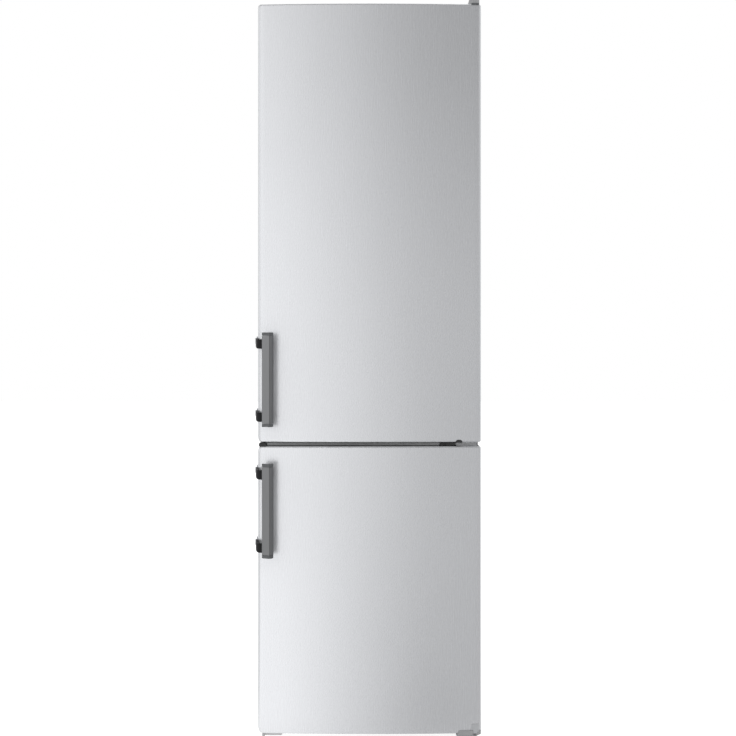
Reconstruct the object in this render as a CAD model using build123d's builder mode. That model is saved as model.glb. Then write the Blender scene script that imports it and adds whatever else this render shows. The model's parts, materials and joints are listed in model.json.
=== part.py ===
from build123d import *
import os

# A free-standing bottom freezer refrigerator, in millimetres.
# The front faces -Y, +X is the viewer's right and the floor is at Z = 0, under the middle of the object.

# ---- overall stack, floor to top ----
CABINET_BOTTOM = 22.0  # floor to the cabinet's underside
DOOR_BOTTOM = 32.0  # floor to the lower door
LOWER_DOOR = 771.0
DOOR_GAP = 11.0
UPPER_DOOR = 1176.0
TOP_REVEAL = 2.0  # the cabinet's top stands this much above the upper door
COVER_HEIGHT = 20.0

# ---- width ----
DOOR_WIDTH = 600.0
SIDE_REVEAL = 2.0  # the cabinet is this much narrower than the doors on each side

# ---- depth stack, front to back ----
HANDLE_PROUD = 48.0  # handle front to the crown of the door
DOOR_BOW = 9.0
DOOR_EDGE = 60.0  # door thickness at its upright edges
GASKET_DEPTH = 11.0
BODY_DEPTH = 550.0
CONDENSER_STANDOFF = 28.0

# ---- sheets and walls ----
SHEET = 1.0  # painted steel of the cabinet
PLATE = 2.0  # bottom plate and tray
LINER = 2.0
BRACKET = 3.0
MIDDLE_BRACKET = 4.0
FRIDGE_WALL = 50.0  # cabinet side to the fridge interior
FREEZER_WALL = 63.0
TOP_WALL = 50.0
BOTTOM_WALL = 60.0
REAR_WALL = 60.0

# ---- centre rail and compressor niche ----
RAIL_DEPTH = 20.0
RAIL_REACH = 19.0  # how far the rail reaches past each door's edge, to carry its gasket
NICHE_TOP = 250.0
NICHE_DEPTH = 230.0
STEP_WALL = 50.0  # insulation between the niche and the freezer
FREEZER_TIERS = 3

# ---- doors ----
DOOR_SKIN = 1.0
SKIN_RETURN = 12.0
EDGE_RADIUS = 8.0
CAP_THICKNESS = 12.0
CAP_RECESS = 1.0
GASKET_INSET = 18.0
GASKET_WIDTH = 14.0
GASKET_GROOVE = 3.0
GASKET_LIP = 4.0  # rubber each side of the groove
RIDGE_REACH = 20.0  # the door's inner ring enters the cabinet by this much
RIDGE_WIDTH = 40.0
RIDGE_CLEARANCE = 8.0  # ring to the opening, for the swing of its far corner
FREEZER_PLUG_CLEARANCE = 32.0  # the freezer door's ring stands further in, to let the drawers pass

# ---- hinges ----
PIN_INSET = 17.0  # pin to the door's side
PIN_FROM_BACK = 32.0  # pin to the door's inner face
BRACKET_NOSE = 13.0  # pin to the front end of each bracket
PIN_RADIUS = 5.0
PIN_PLAY = 0.05
PIN_LENGTH = 10.0  # length inside the cap
COLLAR_RADIUS = 9.0
SEAT_GAP = 0.3
BRACKET_RADIUS = 5.0  # rounded corners of the brackets
MIDDLE_BRACKET_WIDTH = 90.0
MIDDLE_BRACKET_END = 12.0  # door's side to the bracket's edge
MIDDLE_PLATE_HALF = 20.0  # half height of the plate screwed to the rail
LOWER_BRACKET_END = 9.0  # door's side to the edges of the bottom brackets
BOTTOM_BRACKET_WIDTH = 56.0
FOOT_BRACKET_WIDTH = 54.0
BOTTOM_BRACKET_REACH = 75.0
TOP_BRACKET_WIDTH = 74.0
TOP_BRACKET_REACH = 60.0  # along the cabinet's top
TOP_ARM_WIDTH = 21.0
COVER_MARGIN = 3.0  # cover beyond the bracket's arm
COVER_WALL = 2.0
COVER_RADIUS = 5.0
COVER_EDGE = 3.0
SCREW_RADIUS = 2.5
SCREW_LENGTH = 14.0
SCREW_HEAD_RADIUS = 4.5
SCREW_HEAD = 2.5
SCREW_EDGE = 12.0  # bracket's edge to its nearest screws
TOP_SCREW_PITCH = 20.0
TOP_SCREW_INSET = 18.0  # pin to the first screw
TOP_SCREW_BACK = 15.0
TOP_SCREW_STAGGER = 28.0
LOWER_SCREW_PITCH = 24.0
LOWER_SCREW_BACK = 24.0  # foot to the screws behind it
MIDDLE_SCREW_PITCH = 30.0
MIDDLE_SCREW_HALF = 12.0

# ---- feet and rollers ----
FOOT_INSET = 18.0
FOOT_BACK = 30.0
FOOT_RADIUS = 14.0
FOOT_PAD = 8.0
FOOT_EDGE = 2.0
STUD_RADIUS = 5.0
STUD_TOP = 60.0
STUD_PLAY = 0.3
STUD_POCKET = 2.0  # free height over the stud
STUD_CLEARANCE = 1.0  # foam kept off the stud
ROLLER_RADIUS = 10.0
ROLLER_WIDTH = 18.0
ROLLER_INSET = 30.0
ROLLER_FROM_BACK = 35.0
ROLLER_CHAMFER = 1.0
AXLE_RADIUS = 2.5
EAR_GAP = 1.0
EAR_HALF = 9.0
EAR_DROP = 7.0  # axle to the lower end of the ears that hold it

# ---- handles ----
HANDLE_LENGTH = 250.0
HANDLE_FROM_GAP = 43.0  # bar end to the door's edge at the gap
BAR_WIDTH = 26.0
BAR_DEPTH = 16.0
BAR_RADIUS = 7.0
BAR_INSET = 20.0  # door side to the bar's near edge
BAR_CAP = 9.0
ARM_FROM_END = 28.0
ARM_HEIGHT = 24.0
ARM_RISE = 6.0  # the mounts sit this much above the arms' middle
ARM_DROP = 6.0  # the arms reach the bar this much below their middle
ARM_THICKNESS = 7.0
ARM_FRONT = 10.0
ARM_UNDER_BAR = 17.0  # how far the arm reaches in behind the bar
ARM_ROUND = 6.0
MOUNT_THICKNESS = 8.0
MOUNT_LENGTH = 46.0
MOUNT_RELIEF = 1.0  # mount and leg are kept this much clear of the turning eye
PIVOT_FROM_EDGE = 8.0  # door's front edge to the handle's pivot
EYE_HEIGHT = 12.0
HANDLE_PIN_RADIUS = 2.0

# ---- fridge interior ----
CRISPER_HEIGHT = 230.0
SHELF_PITCH = 195.0
SHELF_COUNT = 4  # the lowest one covers the crispers
GLASS = 4.0
SHELF_FRONT = 115.0  # cabinet face to the shelves' front edge
SHELF_SIDE_GAP = 2.0
LEDGE_DEPTH = 8.0
LEDGE_HEIGHT = 6.0
LEDGE_START = 125.0
TRIM_HEIGHT = 14.0
TRIM_DEPTH = 10.0
TRIM_PROUD = 3.0  # trim in front of the glass
TRIM_EDGE = 2.0
PANEL_SIZE = (280.0, 75.0, 24.0)
PANEL_FRONT = 30.0
PANEL_EDGE = 6.0
BUTTON_SIZE = (14.0, 8.0, 8.0)
BUTTON_EDGE = 1.0
BUTTON_PITCH = 40.0
BUTTON_PROUD = 1.5
BUTTON_TRAVEL = 1.0
BUTTON_OVERRUN = 0.1  # free depth behind a pressed button
LAMP_SIZE = (120.0, 90.0, 8.0)
LAMP_GAP = 10.0  # control panel to lamp
LAMP_EDGE = 4.0
CRISPER_WALL = 2.5
CRISPER_SIDE_GAP = 11.0
CRISPER_CENTRE_GAP = 4.0
CRISPER_TOP_GAP = 12.0
LIP = 8.0  # grip lip over the drawers' front
LIP_HEIGHT = 14.0

# ---- door fittings ----
RACK_DEPTH = 102.0
RACK_WALL = 3.0
RACK_RADIUS = 10.0
RACK_HEIGHT = 75.0
RACK_COUNT = 2
RACK_PITCH = 250.0
FIRST_RACK = 345.0  # door bottom to the first rack
BOTTLE_RACK = 102.0  # door bottom to the bottle rack
BOTTLE_RACK_HEIGHT = 115.0
DAIRY_BOTTOM = 835.0
DAIRY_HEIGHT = 95.0
DAIRY_DEPTH = 92.0
LID_WALL = 3.0
LID_DROP = 40.0
LID_LAP = 2.0  # the flap ends this much above the box's cut front
LID_EDGE = 2.5
LID_PIN_RADIUS = 2.0
LID_PIN_RISE = 3.0  # box rim to the pin
LID_PIN_BACK = 8.0  # door's inner face to the pin
LID_PIN_END = 0.5  # pin end to the outside of its ear
LID_EAR_DEPTH = 5.0  # beyond the pin
LID_EAR_HEIGHT = 6.0
LUG = (6.0, 24.0, 6.0)

# ---- freezer fittings ----
DRAWER_WALL = 3.0
DRAWER_RADIUS = 12.0
DRAWER_SIDE_GAP = 10.0
DRAWER_START = 40.0
DRAWER_BACK_GAP = 14.0
DRAWER_TOP_GAP = 10.0
EVAPORATOR_ROOM = 59.0  # depth behind the cover
COVER_SHEET = 3.0
EVAPORATOR_SIDE_GAP = 35.0
EVAPORATOR_HEIGHT = 290.0
EVAPORATOR_RISE = 20.0
EVAPORATOR_FRONT_GAP = 4.0
EVAPORATOR_BACK_GAP = 6.0
EVAPORATOR_TUBE_END = 12.0  # tubes past the outer fins
FIN_COUNT = 32
FIN = 1.0
EVAPORATOR_TUBES = 8
EVAPORATOR_TUBE_RADIUS = 4.0
FAN_RADIUS = 45.0
FAN_HUB = 14.0
FAN_BLADES = 5
FAN_WIDTH = 16.0
FAN_TOP_GAP = 20.0
FAN_GAP = 6.0  # fan to the cover and to its motor
BLADE_CHORD = 20.0
BLADE = 1.5
BLADE_ANGLE = 35.0
BLADE_ROOT = 2.0  # blade inside the hub
MOTOR_RADIUS = 20.0
MOTOR_EDGE = 3.0
SHAFT_RADIUS = 2.0
SHAFT_SETBACK = 1.0  # fan's front to the end of the shaft
GRILLE_BARS = 3
GRILLE_BAR = 3.0
GRILLE_GAP = 3.0  # fan tips to the edge of their opening

# ---- compressor and refrigerant circuit ----
COMPRESSOR_X = 40.0
COMPRESSOR_SHIFT = 5.0  # towards the back of the niche
COMPRESSOR_LENGTH = 170.0
COMPRESSOR_WIDTH = 130.0
COMPRESSOR_HEIGHT = 140.0
COMPRESSOR_ROUND = 26.0
WELD_FLANGE = 4.0
GROMMET_HEIGHT = 14.0
GROMMET_RADIUS = 9.0
GROMMET_NECK = 6.0
GROMMET_INSET = 12.0
FOOT_PLATE = (200.0, 120.0, 3.0)
RELAY_BOX = (35.0, 60.0, 65.0)
RELAY_PROUD = 20.0
RELAY_RISE = 20.0
DRIP_SIZE = (200.0, 160.0, 36.0)
DRIP_WALL = 2.0
DRIP_RADIUS = 14.0
TUBE_RADIUS = 3.0
TUBE_BEND = 9.0
CAPILLARY_RADIUS = 1.5
CAPILLARY_BEND = 12.0
CAPILLARY_DROP = 40.0  # below the drier
CAPILLARY_REACH = 60.0  # sideways, to where it enters the insulation
DRIER_RADIUS = 9.0
DRIER_EDGE = 5.0
DRIER_LENGTH = 90.0
DRIER_BOTTOM = 110.0
DRIER_INSET = 71.0
DRIER_FROM_BACK = 45.0
DRIER_LEAD = 26.0  # height of the bend over the drier
DRIER_BEND = 8.0
DRIER_INSERT = 4.0  # tube ends inside the drier
PORT_RISE = 50.0
PORT_DEPTH = 8.0  # tube ends inside the compressor's shell
DISCHARGE_X = 40.0  # from the compressor's middle
SUCTION_X = -20.0
SUCTION_RISE = 10.0  # above the discharge port
SUCTION_FROM_BACK = 18.0
RISER_GAP = 22.0  # condenser's ends to the tubes beside it
BELOW_CONDENSER = 60.0
CONDENSER_RUNS = 15  # an odd count, so that the tube ends at the other side
CONDENSER_PITCH = 90.0
CONDENSER_MARGIN = 58.0  # cabinet's side to the condenser's ends
CONDENSER_BOTTOM = 330.0
CONDENSER_TUBE = 2.5
CONDENSER_BEND = 36.0
WIRE = 1.6
WIRE_COUNT = 19
WIRE_MARGIN = 24.0  # condenser's ends to the outer wires
WIRE_END = 20.0
WIRE_SEAT = 0.4  # how far each wire is welded into the tubes
CLIP_HEIGHT = 22.0

# ---- places worked out from the sizes above ----
HALF_DOOR = DOOR_WIDTH / 2
HALF_CABINET = HALF_DOOR - SIDE_REVEAL
TOTAL_DEPTH = HANDLE_PROUD + DOOR_BOW + DOOR_EDGE + GASKET_DEPTH + BODY_DEPTH + CONDENSER_STANDOFF
Y_HANDLE = -TOTAL_DEPTH / 2
Y_CROWN = Y_HANDLE + HANDLE_PROUD
Y_EDGE = Y_CROWN + DOOR_BOW
Y_DOOR_BACK = Y_EDGE + DOOR_EDGE
Y_FACE = Y_DOOR_BACK + GASKET_DEPTH
Y_REAR = Y_FACE + BODY_DEPTH
Y_END = Y_REAR + CONDENSER_STANDOFF
Y_PIN = Y_DOOR_BACK - PIN_FROM_BACK
X_PIN = HALF_DOOR - PIN_INSET

LOWER_TOP = DOOR_BOTTOM + LOWER_DOOR
UPPER_BOTTOM = LOWER_TOP + DOOR_GAP
UPPER_TOP = UPPER_BOTTOM + UPPER_DOOR
CABINET_TOP = UPPER_TOP + TOP_REVEAL

INNER_HALF = HALF_CABINET - SHEET
FRIDGE_HALF = HALF_CABINET - FRIDGE_WALL
FREEZER_HALF = HALF_CABINET - FREEZER_WALL
Y_BACK_WALL = Y_REAR - REAR_WALL
RAIL_BOTTOM = LOWER_TOP - GASKET_INSET - RAIL_REACH
RAIL_TOP = UPPER_BOTTOM + GASKET_INSET + RAIL_REACH
FREEZER_FLOOR = CABINET_BOTTOM + BOTTOM_WALL
FREEZER_CEILING = RAIL_BOTTOM - LINER
FRIDGE_FLOOR = RAIL_TOP + LINER
FRIDGE_CEILING = CABINET_TOP - TOP_WALL
Y_NICHE = Y_REAR - NICHE_DEPTH
Y_STEP = Y_NICHE - STEP_WALL + PLATE
STEP_FLOOR = NICHE_TOP + STEP_WALL
TIER = (FREEZER_CEILING - FREEZER_FLOOR) / FREEZER_TIERS
Z_TRAY = CABINET_BOTTOM + PLATE


def block(x, y, z, mode=Mode.ADD):
    """A block between two limits on each axis."""
    with Locations(((x[0] + x[1]) / 2, (y[0] + y[1]) / 2, (z[0] + z[1]) / 2)):
        Box(x[1] - x[0], y[1] - y[0], z[1] - z[0], mode=mode)


def rod(x, y, z, radius, mode=Mode.ADD):
    """An upright round rod between two heights."""
    with Locations((x, y, (z[0] + z[1]) / 2)):
        Cylinder(radius, z[1] - z[0], mode=mode)


def rod_along_x(x, y, z, radius, mode=Mode.ADD):
    with Locations(((x[0] + x[1]) / 2, y, z)):
        Cylinder(radius, x[1] - x[0], rotation=(0, 90, 0), mode=mode)


def rod_along_y(x, y, z, radius, mode=Mode.ADD):
    with Locations((x, (y[0] + y[1]) / 2, z)):
        Cylinder(radius, y[1] - y[0], rotation=(90, 0, 0), mode=mode)


def ring(half, z, width, y, mode=Mode.ADD):
    """A rectangular ring seen from the front: its half width, heights, band width and depth limits."""
    block((-half, width - half), y, z, mode)
    block((half - width, half), y, z, mode)
    block((width - half, half - width), y, (z[0], z[0] + width), mode)
    block((width - half, half - width), y, (z[1] - width, z[1]), mode)


def middle(limits):
    return (limits[0] + limits[1]) / 2


def save(piece, name):
    piece.part.label = name
    export_step(piece.part, f"parts/{name}.step")


os.makedirs("parts", exist_ok=True)

# ======== cabinet ========

fridge_wall = FRIDGE_HALF + LINER
freezer_wall = FREEZER_HALF + LINER
fridge_outer = ((-fridge_wall, fridge_wall), (FRIDGE_FLOOR - LINER, FRIDGE_CEILING + LINER))
freezer_outer = ((-freezer_wall, freezer_wall), (FREEZER_FLOOR - LINER, FREEZER_CEILING + LINER))
screws_top = [
    (X_PIN - TOP_SCREW_INSET - TOP_SCREW_PITCH * k, Y_FACE + TOP_SCREW_BACK + TOP_SCREW_STAGGER * (k % 2))
    for k in range(3)
]
foot_x = HALF_CABINET - FOOT_INSET
foot_y = Y_FACE + FOOT_BACK
lower_edge = HALF_DOOR - LOWER_BRACKET_END
bottom_right = (lower_edge - BOTTOM_BRACKET_WIDTH, lower_edge)
foot_left = (-lower_edge, FOOT_BRACKET_WIDTH - lower_edge)
lower_screw_y = foot_y + LOWER_SCREW_BACK
screws_bottom = [(bottom_right[0] + SCREW_EDGE + LOWER_SCREW_PITCH * k, lower_screw_y) for k in range(2)]
screws_foot = [(foot_left[1] - SCREW_EDGE - LOWER_SCREW_PITCH * k, lower_screw_y) for k in range(2)]
middle_edge = HALF_DOOR - MIDDLE_BRACKET_END
middle_right = (middle_edge - MIDDLE_BRACKET_WIDTH, middle_edge)
rail_middle = (LOWER_TOP + UPPER_BOTTOM) / 2
screws_middle = [
    (middle_right[0] + SCREW_EDGE + MIDDLE_SCREW_PITCH * k, rail_middle + side * MIDDLE_SCREW_HALF)
    for k in range(2)
    for side in (-1, 1)
]

with BuildPart() as cabinet_shell:
    block((-HALF_CABINET, HALF_CABINET), (Y_FACE, Y_REAR), (CABINET_BOTTOM, CABINET_TOP))
    inner_z = (CABINET_BOTTOM, CABINET_TOP - SHEET)
    block((-INNER_HALF, INNER_HALF), (Y_FACE + SHEET, Y_REAR), inner_z, Mode.SUBTRACT)
    block((-INNER_HALF, INNER_HALF), (Y_FACE, Y_FACE + SHEET), inner_z)
    block(fridge_outer[0], (Y_FACE, Y_FACE + SHEET), (freezer_outer[1][1], fridge_outer[1][1]), Mode.SUBTRACT)
    block(freezer_outer[0], (Y_FACE, Y_FACE + SHEET), freezer_outer[1], Mode.SUBTRACT)
    for x, y in screws_top:
        rod(x, y, (CABINET_TOP - SHEET, CABINET_TOP), SCREW_RADIUS, Mode.SUBTRACT)
save(cabinet_shell, "cabinet_shell")

with BuildPart() as back_panel:
    block((-INNER_HALF, INNER_HALF), (Y_REAR - SHEET, Y_REAR), (NICHE_TOP + PLATE, CABINET_TOP - SHEET))
save(back_panel, "back_panel")

with BuildPart() as bottom_plate:
    block((-INNER_HALF, INNER_HALF), (Y_FACE + SHEET, Y_NICHE + PLATE), (CABINET_BOTTOM, Z_TRAY))
    block((-INNER_HALF, INNER_HALF), (Y_NICHE, Y_NICHE + PLATE), (CABINET_BOTTOM, NICHE_TOP + PLATE))
    block((-INNER_HALF, INNER_HALF), (Y_NICHE, Y_REAR), (NICHE_TOP, NICHE_TOP + PLATE))
    for side in (-1, 1):
        rod(side * foot_x, foot_y, (CABINET_BOTTOM, Z_TRAY), STUD_RADIUS + STUD_PLAY, Mode.SUBTRACT)
    for x, y in screws_bottom + screws_foot:
        rod(x, y, (CABINET_BOTTOM, Z_TRAY), SCREW_RADIUS, Mode.SUBTRACT)
save(bottom_plate, "bottom_plate")

with BuildPart() as centre_rail:
    rail = (freezer_outer[1][1], fridge_outer[1][0])
    block(fridge_outer[0], (Y_FACE, Y_FACE + RAIL_DEPTH), rail)
    rail_inside = (rail[0] + SHEET, rail[1] - SHEET)
    block(fridge_outer[0], (Y_FACE + SHEET, Y_FACE + RAIL_DEPTH), rail_inside, Mode.SUBTRACT)
    for x, z in screws_middle:
        rod_along_y(x, (Y_FACE, Y_FACE + SHEET), z, SCREW_RADIUS, Mode.SUBTRACT)
save(centre_rail, "centre_rail")

shelf_tops = [FRIDGE_FLOOR + CRISPER_HEIGHT + GLASS + SHELF_PITCH * k for k in range(SHELF_COUNT)]

with BuildPart() as fridge_liner:
    block(fridge_outer[0], (Y_FACE, Y_BACK_WALL + LINER), fridge_outer[1])
    inside = (FRIDGE_FLOOR, FRIDGE_CEILING)
    block((-FRIDGE_HALF, FRIDGE_HALF), (Y_FACE, Y_BACK_WALL), inside, Mode.SUBTRACT)
    for top in shelf_tops:
        for wall in ((-FRIDGE_HALF, LEDGE_DEPTH - FRIDGE_HALF), (FRIDGE_HALF - LEDGE_DEPTH, FRIDGE_HALF)):
            ledge = (top - GLASS - LEDGE_HEIGHT, top - GLASS)
            block(wall, (Y_FACE + LEDGE_START, Y_BACK_WALL), ledge)
save(fridge_liner, "fridge_liner")

freezer_tiers = [FREEZER_FLOOR + TIER * k for k in range(FREEZER_TIERS)]

with BuildPart() as freezer_liner:
    block(freezer_outer[0], (Y_FACE, Y_STEP + LINER), freezer_outer[1])
    block(freezer_outer[0], (Y_STEP, Y_BACK_WALL + LINER), (STEP_FLOOR - LINER, freezer_outer[1][1]))
    block((-FREEZER_HALF, FREEZER_HALF), (Y_FACE, Y_STEP), (FREEZER_FLOOR, FREEZER_CEILING), Mode.SUBTRACT)
    block((-FREEZER_HALF, FREEZER_HALF), (Y_FACE, Y_BACK_WALL), (STEP_FLOOR, FREEZER_CEILING), Mode.SUBTRACT)
    for top in freezer_tiers[1:]:
        for side in ((-FREEZER_HALF, LEDGE_DEPTH - FREEZER_HALF), (FREEZER_HALF - LEDGE_DEPTH, FREEZER_HALF)):
            ledge = (top - GLASS - LEDGE_HEIGHT, top - GLASS)
            block(side, (Y_FACE + DRAWER_START, Y_STEP), ledge)
save(freezer_liner, "freezer_liner")

with BuildPart() as insulation_foam:
    block((-INNER_HALF, INNER_HALF), (Y_FACE + SHEET, Y_REAR - SHEET), (Z_TRAY, CABINET_TOP - SHEET))
    block((-INNER_HALF, INNER_HALF), (Y_NICHE, Y_REAR), (CABINET_BOTTOM, NICHE_TOP + PLATE), Mode.SUBTRACT)
    block(fridge_outer[0], (Y_FACE, Y_BACK_WALL + LINER), fridge_outer[1], Mode.SUBTRACT)
    block(freezer_outer[0], (Y_FACE, Y_STEP + LINER), freezer_outer[1], Mode.SUBTRACT)
    deep = (STEP_FLOOR - LINER, freezer_outer[1][1])
    block(freezer_outer[0], (Y_FACE, Y_BACK_WALL + LINER), deep, Mode.SUBTRACT)
    add(centre_rail.part, mode=Mode.SUBTRACT)
    for side in (-1, 1):
        pocket = (CABINET_BOTTOM, STUD_TOP + STUD_POCKET)
        rod(side * foot_x, foot_y, pocket, STUD_RADIUS + STUD_CLEARANCE, Mode.SUBTRACT)
    for x, y in screws_top:
        rod(x, y, (CABINET_TOP - SCREW_LENGTH, CABINET_TOP), SCREW_RADIUS, Mode.SUBTRACT)
    for x, y in screws_bottom + screws_foot:
        rod(x, y, (CABINET_BOTTOM, CABINET_BOTTOM + SCREW_LENGTH), SCREW_RADIUS, Mode.SUBTRACT)
    for x, z in screws_middle:
        rod_along_y(x, (Y_FACE, Y_FACE + SCREW_LENGTH), z, SCREW_RADIUS, Mode.SUBTRACT)
save(insulation_foam, "insulation_foam")

# ======== hinge brackets, feet and rollers ========

bracket_front = Y_PIN - BRACKET_NOSE
top_arm = (X_PIN - TOP_ARM_WIDTH / 2, X_PIN + TOP_ARM_WIDTH / 2)
top_body = (top_arm[1] - TOP_BRACKET_WIDTH, top_arm[1])

with BuildPart() as top_hinge_bracket:
    block(top_arm, (bracket_front, Y_FACE), (CABINET_TOP, CABINET_TOP + BRACKET))
    block(top_body, (Y_FACE, Y_FACE + TOP_BRACKET_REACH), (CABINET_TOP, CABINET_TOP + BRACKET))
    rod(X_PIN, Y_PIN, (UPPER_TOP - CAP_RECESS - PIN_LENGTH, CABINET_TOP), PIN_RADIUS)
    for x, y in screws_top:
        rod(x, y, (CABINET_TOP, CABINET_TOP + BRACKET), SCREW_RADIUS, Mode.SUBTRACT)
save(top_hinge_bracket, "top_hinge_bracket")

with BuildPart() as hinge_cover:
    cover = (CABINET_TOP, CABINET_TOP + COVER_HEIGHT)
    nose = (top_arm[0] - COVER_MARGIN, top_arm[1] + COVER_MARGIN)
    base = (top_body[0] - COVER_MARGIN, top_body[1] + COVER_MARGIN)
    cover_rear = Y_FACE + TOP_BRACKET_REACH + COVER_MARGIN
    block(nose, (bracket_front - COVER_MARGIN, cover_rear), cover)
    block(base, (Y_FACE, cover_rear), cover)
    fillet(hinge_cover.edges().filter_by(Axis.Z), COVER_RADIUS)
    fillet(hinge_cover.edges().group_by(Axis.Z)[-1], COVER_EDGE)
    under = (CABINET_TOP, CABINET_TOP + COVER_HEIGHT - COVER_WALL)
    inner = COVER_MARGIN - COVER_WALL
    block((top_arm[0] - inner, top_arm[1] + inner), (bracket_front - inner, Y_FACE), under, Mode.SUBTRACT)
    block((top_body[0] - inner, top_body[1] + inner), (Y_FACE, cover_rear - COVER_WALL), under, Mode.SUBTRACT)
save(hinge_cover, "hinge_cover")

with BuildPart() as middle_hinge_bracket:
    arm = (rail_middle - MIDDLE_BRACKET / 2, rail_middle + MIDDLE_BRACKET / 2)
    block(middle_right, (bracket_front, Y_FACE), arm)
    fillet(middle_hinge_bracket.edges().filter_by(Axis.Z).group_by(Axis.Y)[0], BRACKET_RADIUS)
    plate = (rail_middle - MIDDLE_PLATE_HALF, rail_middle + MIDDLE_PLATE_HALF)
    block(middle_right, (Y_FACE - BRACKET, Y_FACE), plate)
    pin_ends = CAP_RECESS + PIN_LENGTH
    rod(X_PIN, Y_PIN, (LOWER_TOP - pin_ends, UPPER_BOTTOM + pin_ends), PIN_RADIUS)
    rod(X_PIN, Y_PIN, (arm[1], UPPER_BOTTOM + CAP_RECESS - SEAT_GAP), COLLAR_RADIUS)
    for x, z in screws_middle:
        rod_along_y(x, (Y_FACE - BRACKET, Y_FACE), z, SCREW_RADIUS, Mode.SUBTRACT)
save(middle_hinge_bracket, "middle_hinge_bracket")

bracket_z = (CABINET_BOTTOM - BRACKET, CABINET_BOTTOM)

with BuildPart() as bottom_hinge_bracket:
    block(bottom_right, (bracket_front, Y_FACE + BOTTOM_BRACKET_REACH), bracket_z)
    fillet(bottom_hinge_bracket.edges().filter_by(Axis.Z), BRACKET_RADIUS)
    rod(X_PIN, Y_PIN, (CABINET_BOTTOM, DOOR_BOTTOM + CAP_RECESS + PIN_LENGTH), PIN_RADIUS)
    rod(X_PIN, Y_PIN, (CABINET_BOTTOM, DOOR_BOTTOM + CAP_RECESS - SEAT_GAP), COLLAR_RADIUS)
    rod(foot_x, foot_y, bracket_z, STUD_RADIUS + STUD_PLAY, Mode.SUBTRACT)
    for x, y in screws_bottom:
        rod(x, y, bracket_z, SCREW_RADIUS, Mode.SUBTRACT)
save(bottom_hinge_bracket, "bottom_hinge_bracket")

with BuildPart() as left_foot_bracket:
    block(foot_left, (Y_PIN, Y_FACE + BOTTOM_BRACKET_REACH), bracket_z)
    fillet(left_foot_bracket.edges().filter_by(Axis.Z), BRACKET_RADIUS)
    rod(-foot_x, foot_y, bracket_z, STUD_RADIUS + STUD_PLAY, Mode.SUBTRACT)
    for x, y in screws_foot:
        rod(x, y, bracket_z, SCREW_RADIUS, Mode.SUBTRACT)
save(left_foot_bracket, "left_foot_bracket")

with BuildPart() as hinge_screws:
    for x, y in screws_top:
        head = CABINET_TOP + BRACKET
        rod(x, y, (CABINET_TOP - SCREW_LENGTH, head), SCREW_RADIUS)
        rod(x, y, (head, head + SCREW_HEAD), SCREW_HEAD_RADIUS)
    for x, y in screws_bottom + screws_foot:
        rod(x, y, (bracket_z[0], CABINET_BOTTOM + SCREW_LENGTH), SCREW_RADIUS)
        rod(x, y, (bracket_z[0] - SCREW_HEAD, bracket_z[0]), SCREW_HEAD_RADIUS)
    for x, z in screws_middle:
        head = Y_FACE - BRACKET
        rod_along_y(x, (head, Y_FACE + SCREW_LENGTH), z, SCREW_RADIUS)
        rod_along_y(x, (head - SCREW_HEAD, head), z, SCREW_HEAD_RADIUS)
save(hinge_screws, "hinge_screws")

for side, name in ((-1, "left"), (1, "right")):
    with BuildPart() as front_foot:
        rod(side * foot_x, foot_y, (0, FOOT_PAD), FOOT_RADIUS)
        fillet(front_foot.edges().group_by(Axis.Z)[-1], FOOT_EDGE)
        rod(side * foot_x, foot_y, (FOOT_PAD, STUD_TOP), STUD_RADIUS)
    save(front_foot, f"front_foot_{name}")

roller_x = HALF_CABINET - ROLLER_INSET
roller_y = Y_REAR - ROLLER_FROM_BACK

for side, name in ((-1, "left"), (1, "right")):
    centre = side * roller_x
    with BuildPart() as roller:
        width = (centre - ROLLER_WIDTH / 2, centre + ROLLER_WIDTH / 2)
        rod_along_x(width, roller_y, ROLLER_RADIUS, ROLLER_RADIUS)
        chamfer(roller.edges().filter_by(GeomType.CIRCLE), ROLLER_CHAMFER)
        rod_along_x(width, roller_y, ROLLER_RADIUS, AXLE_RADIUS + PIN_PLAY, Mode.SUBTRACT)
    save(roller, f"rear_roller_{name}")

with BuildPart() as compressor_tray:
    block((-INNER_HALF, INNER_HALF), (Y_NICHE + PLATE, Y_REAR), (CABINET_BOTTOM, Z_TRAY))
    for side in (-1, 1):
        for edge in (-1, 1):
            start = side * roller_x + edge * (ROLLER_WIDTH / 2 + EAR_GAP)
            limits = sorted((start, start + edge * PLATE))
            ear_z = (ROLLER_RADIUS - EAR_DROP, CABINET_BOTTOM)
            block(limits, (roller_y - EAR_HALF, roller_y + EAR_HALF), ear_z)
        reach = ROLLER_WIDTH / 2 + EAR_GAP + PLATE
        rod_along_x((side * roller_x - reach, side * roller_x + reach), roller_y, ROLLER_RADIUS, AXLE_RADIUS)
save(compressor_tray, "compressor_tray")

# ======== compressor and refrigerant circuit ========

compressor_y = (Y_NICHE + Y_REAR) / 2 + COMPRESSOR_SHIFT
plate_z = (Z_TRAY + GROMMET_HEIGHT / 2, Z_TRAY + GROMMET_HEIGHT / 2 + FOOT_PLATE[2])
pot = (plate_z[1], plate_z[1] + COMPRESSOR_HEIGHT)
grommet_x = FOOT_PLATE[0] / 2 - GROMMET_INSET
grommet_y = FOOT_PLATE[1] / 2 - GROMMET_INSET
grommets = [
    (COMPRESSOR_X + across * grommet_x, compressor_y + along * grommet_y)
    for across in (-1, 1)
    for along in (-1, 1)
]
relay_x = COMPRESSOR_X - COMPRESSOR_LENGTH / 2 - RELAY_PROUD
relay_z = pot[0] + RELAY_RISE

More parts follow.
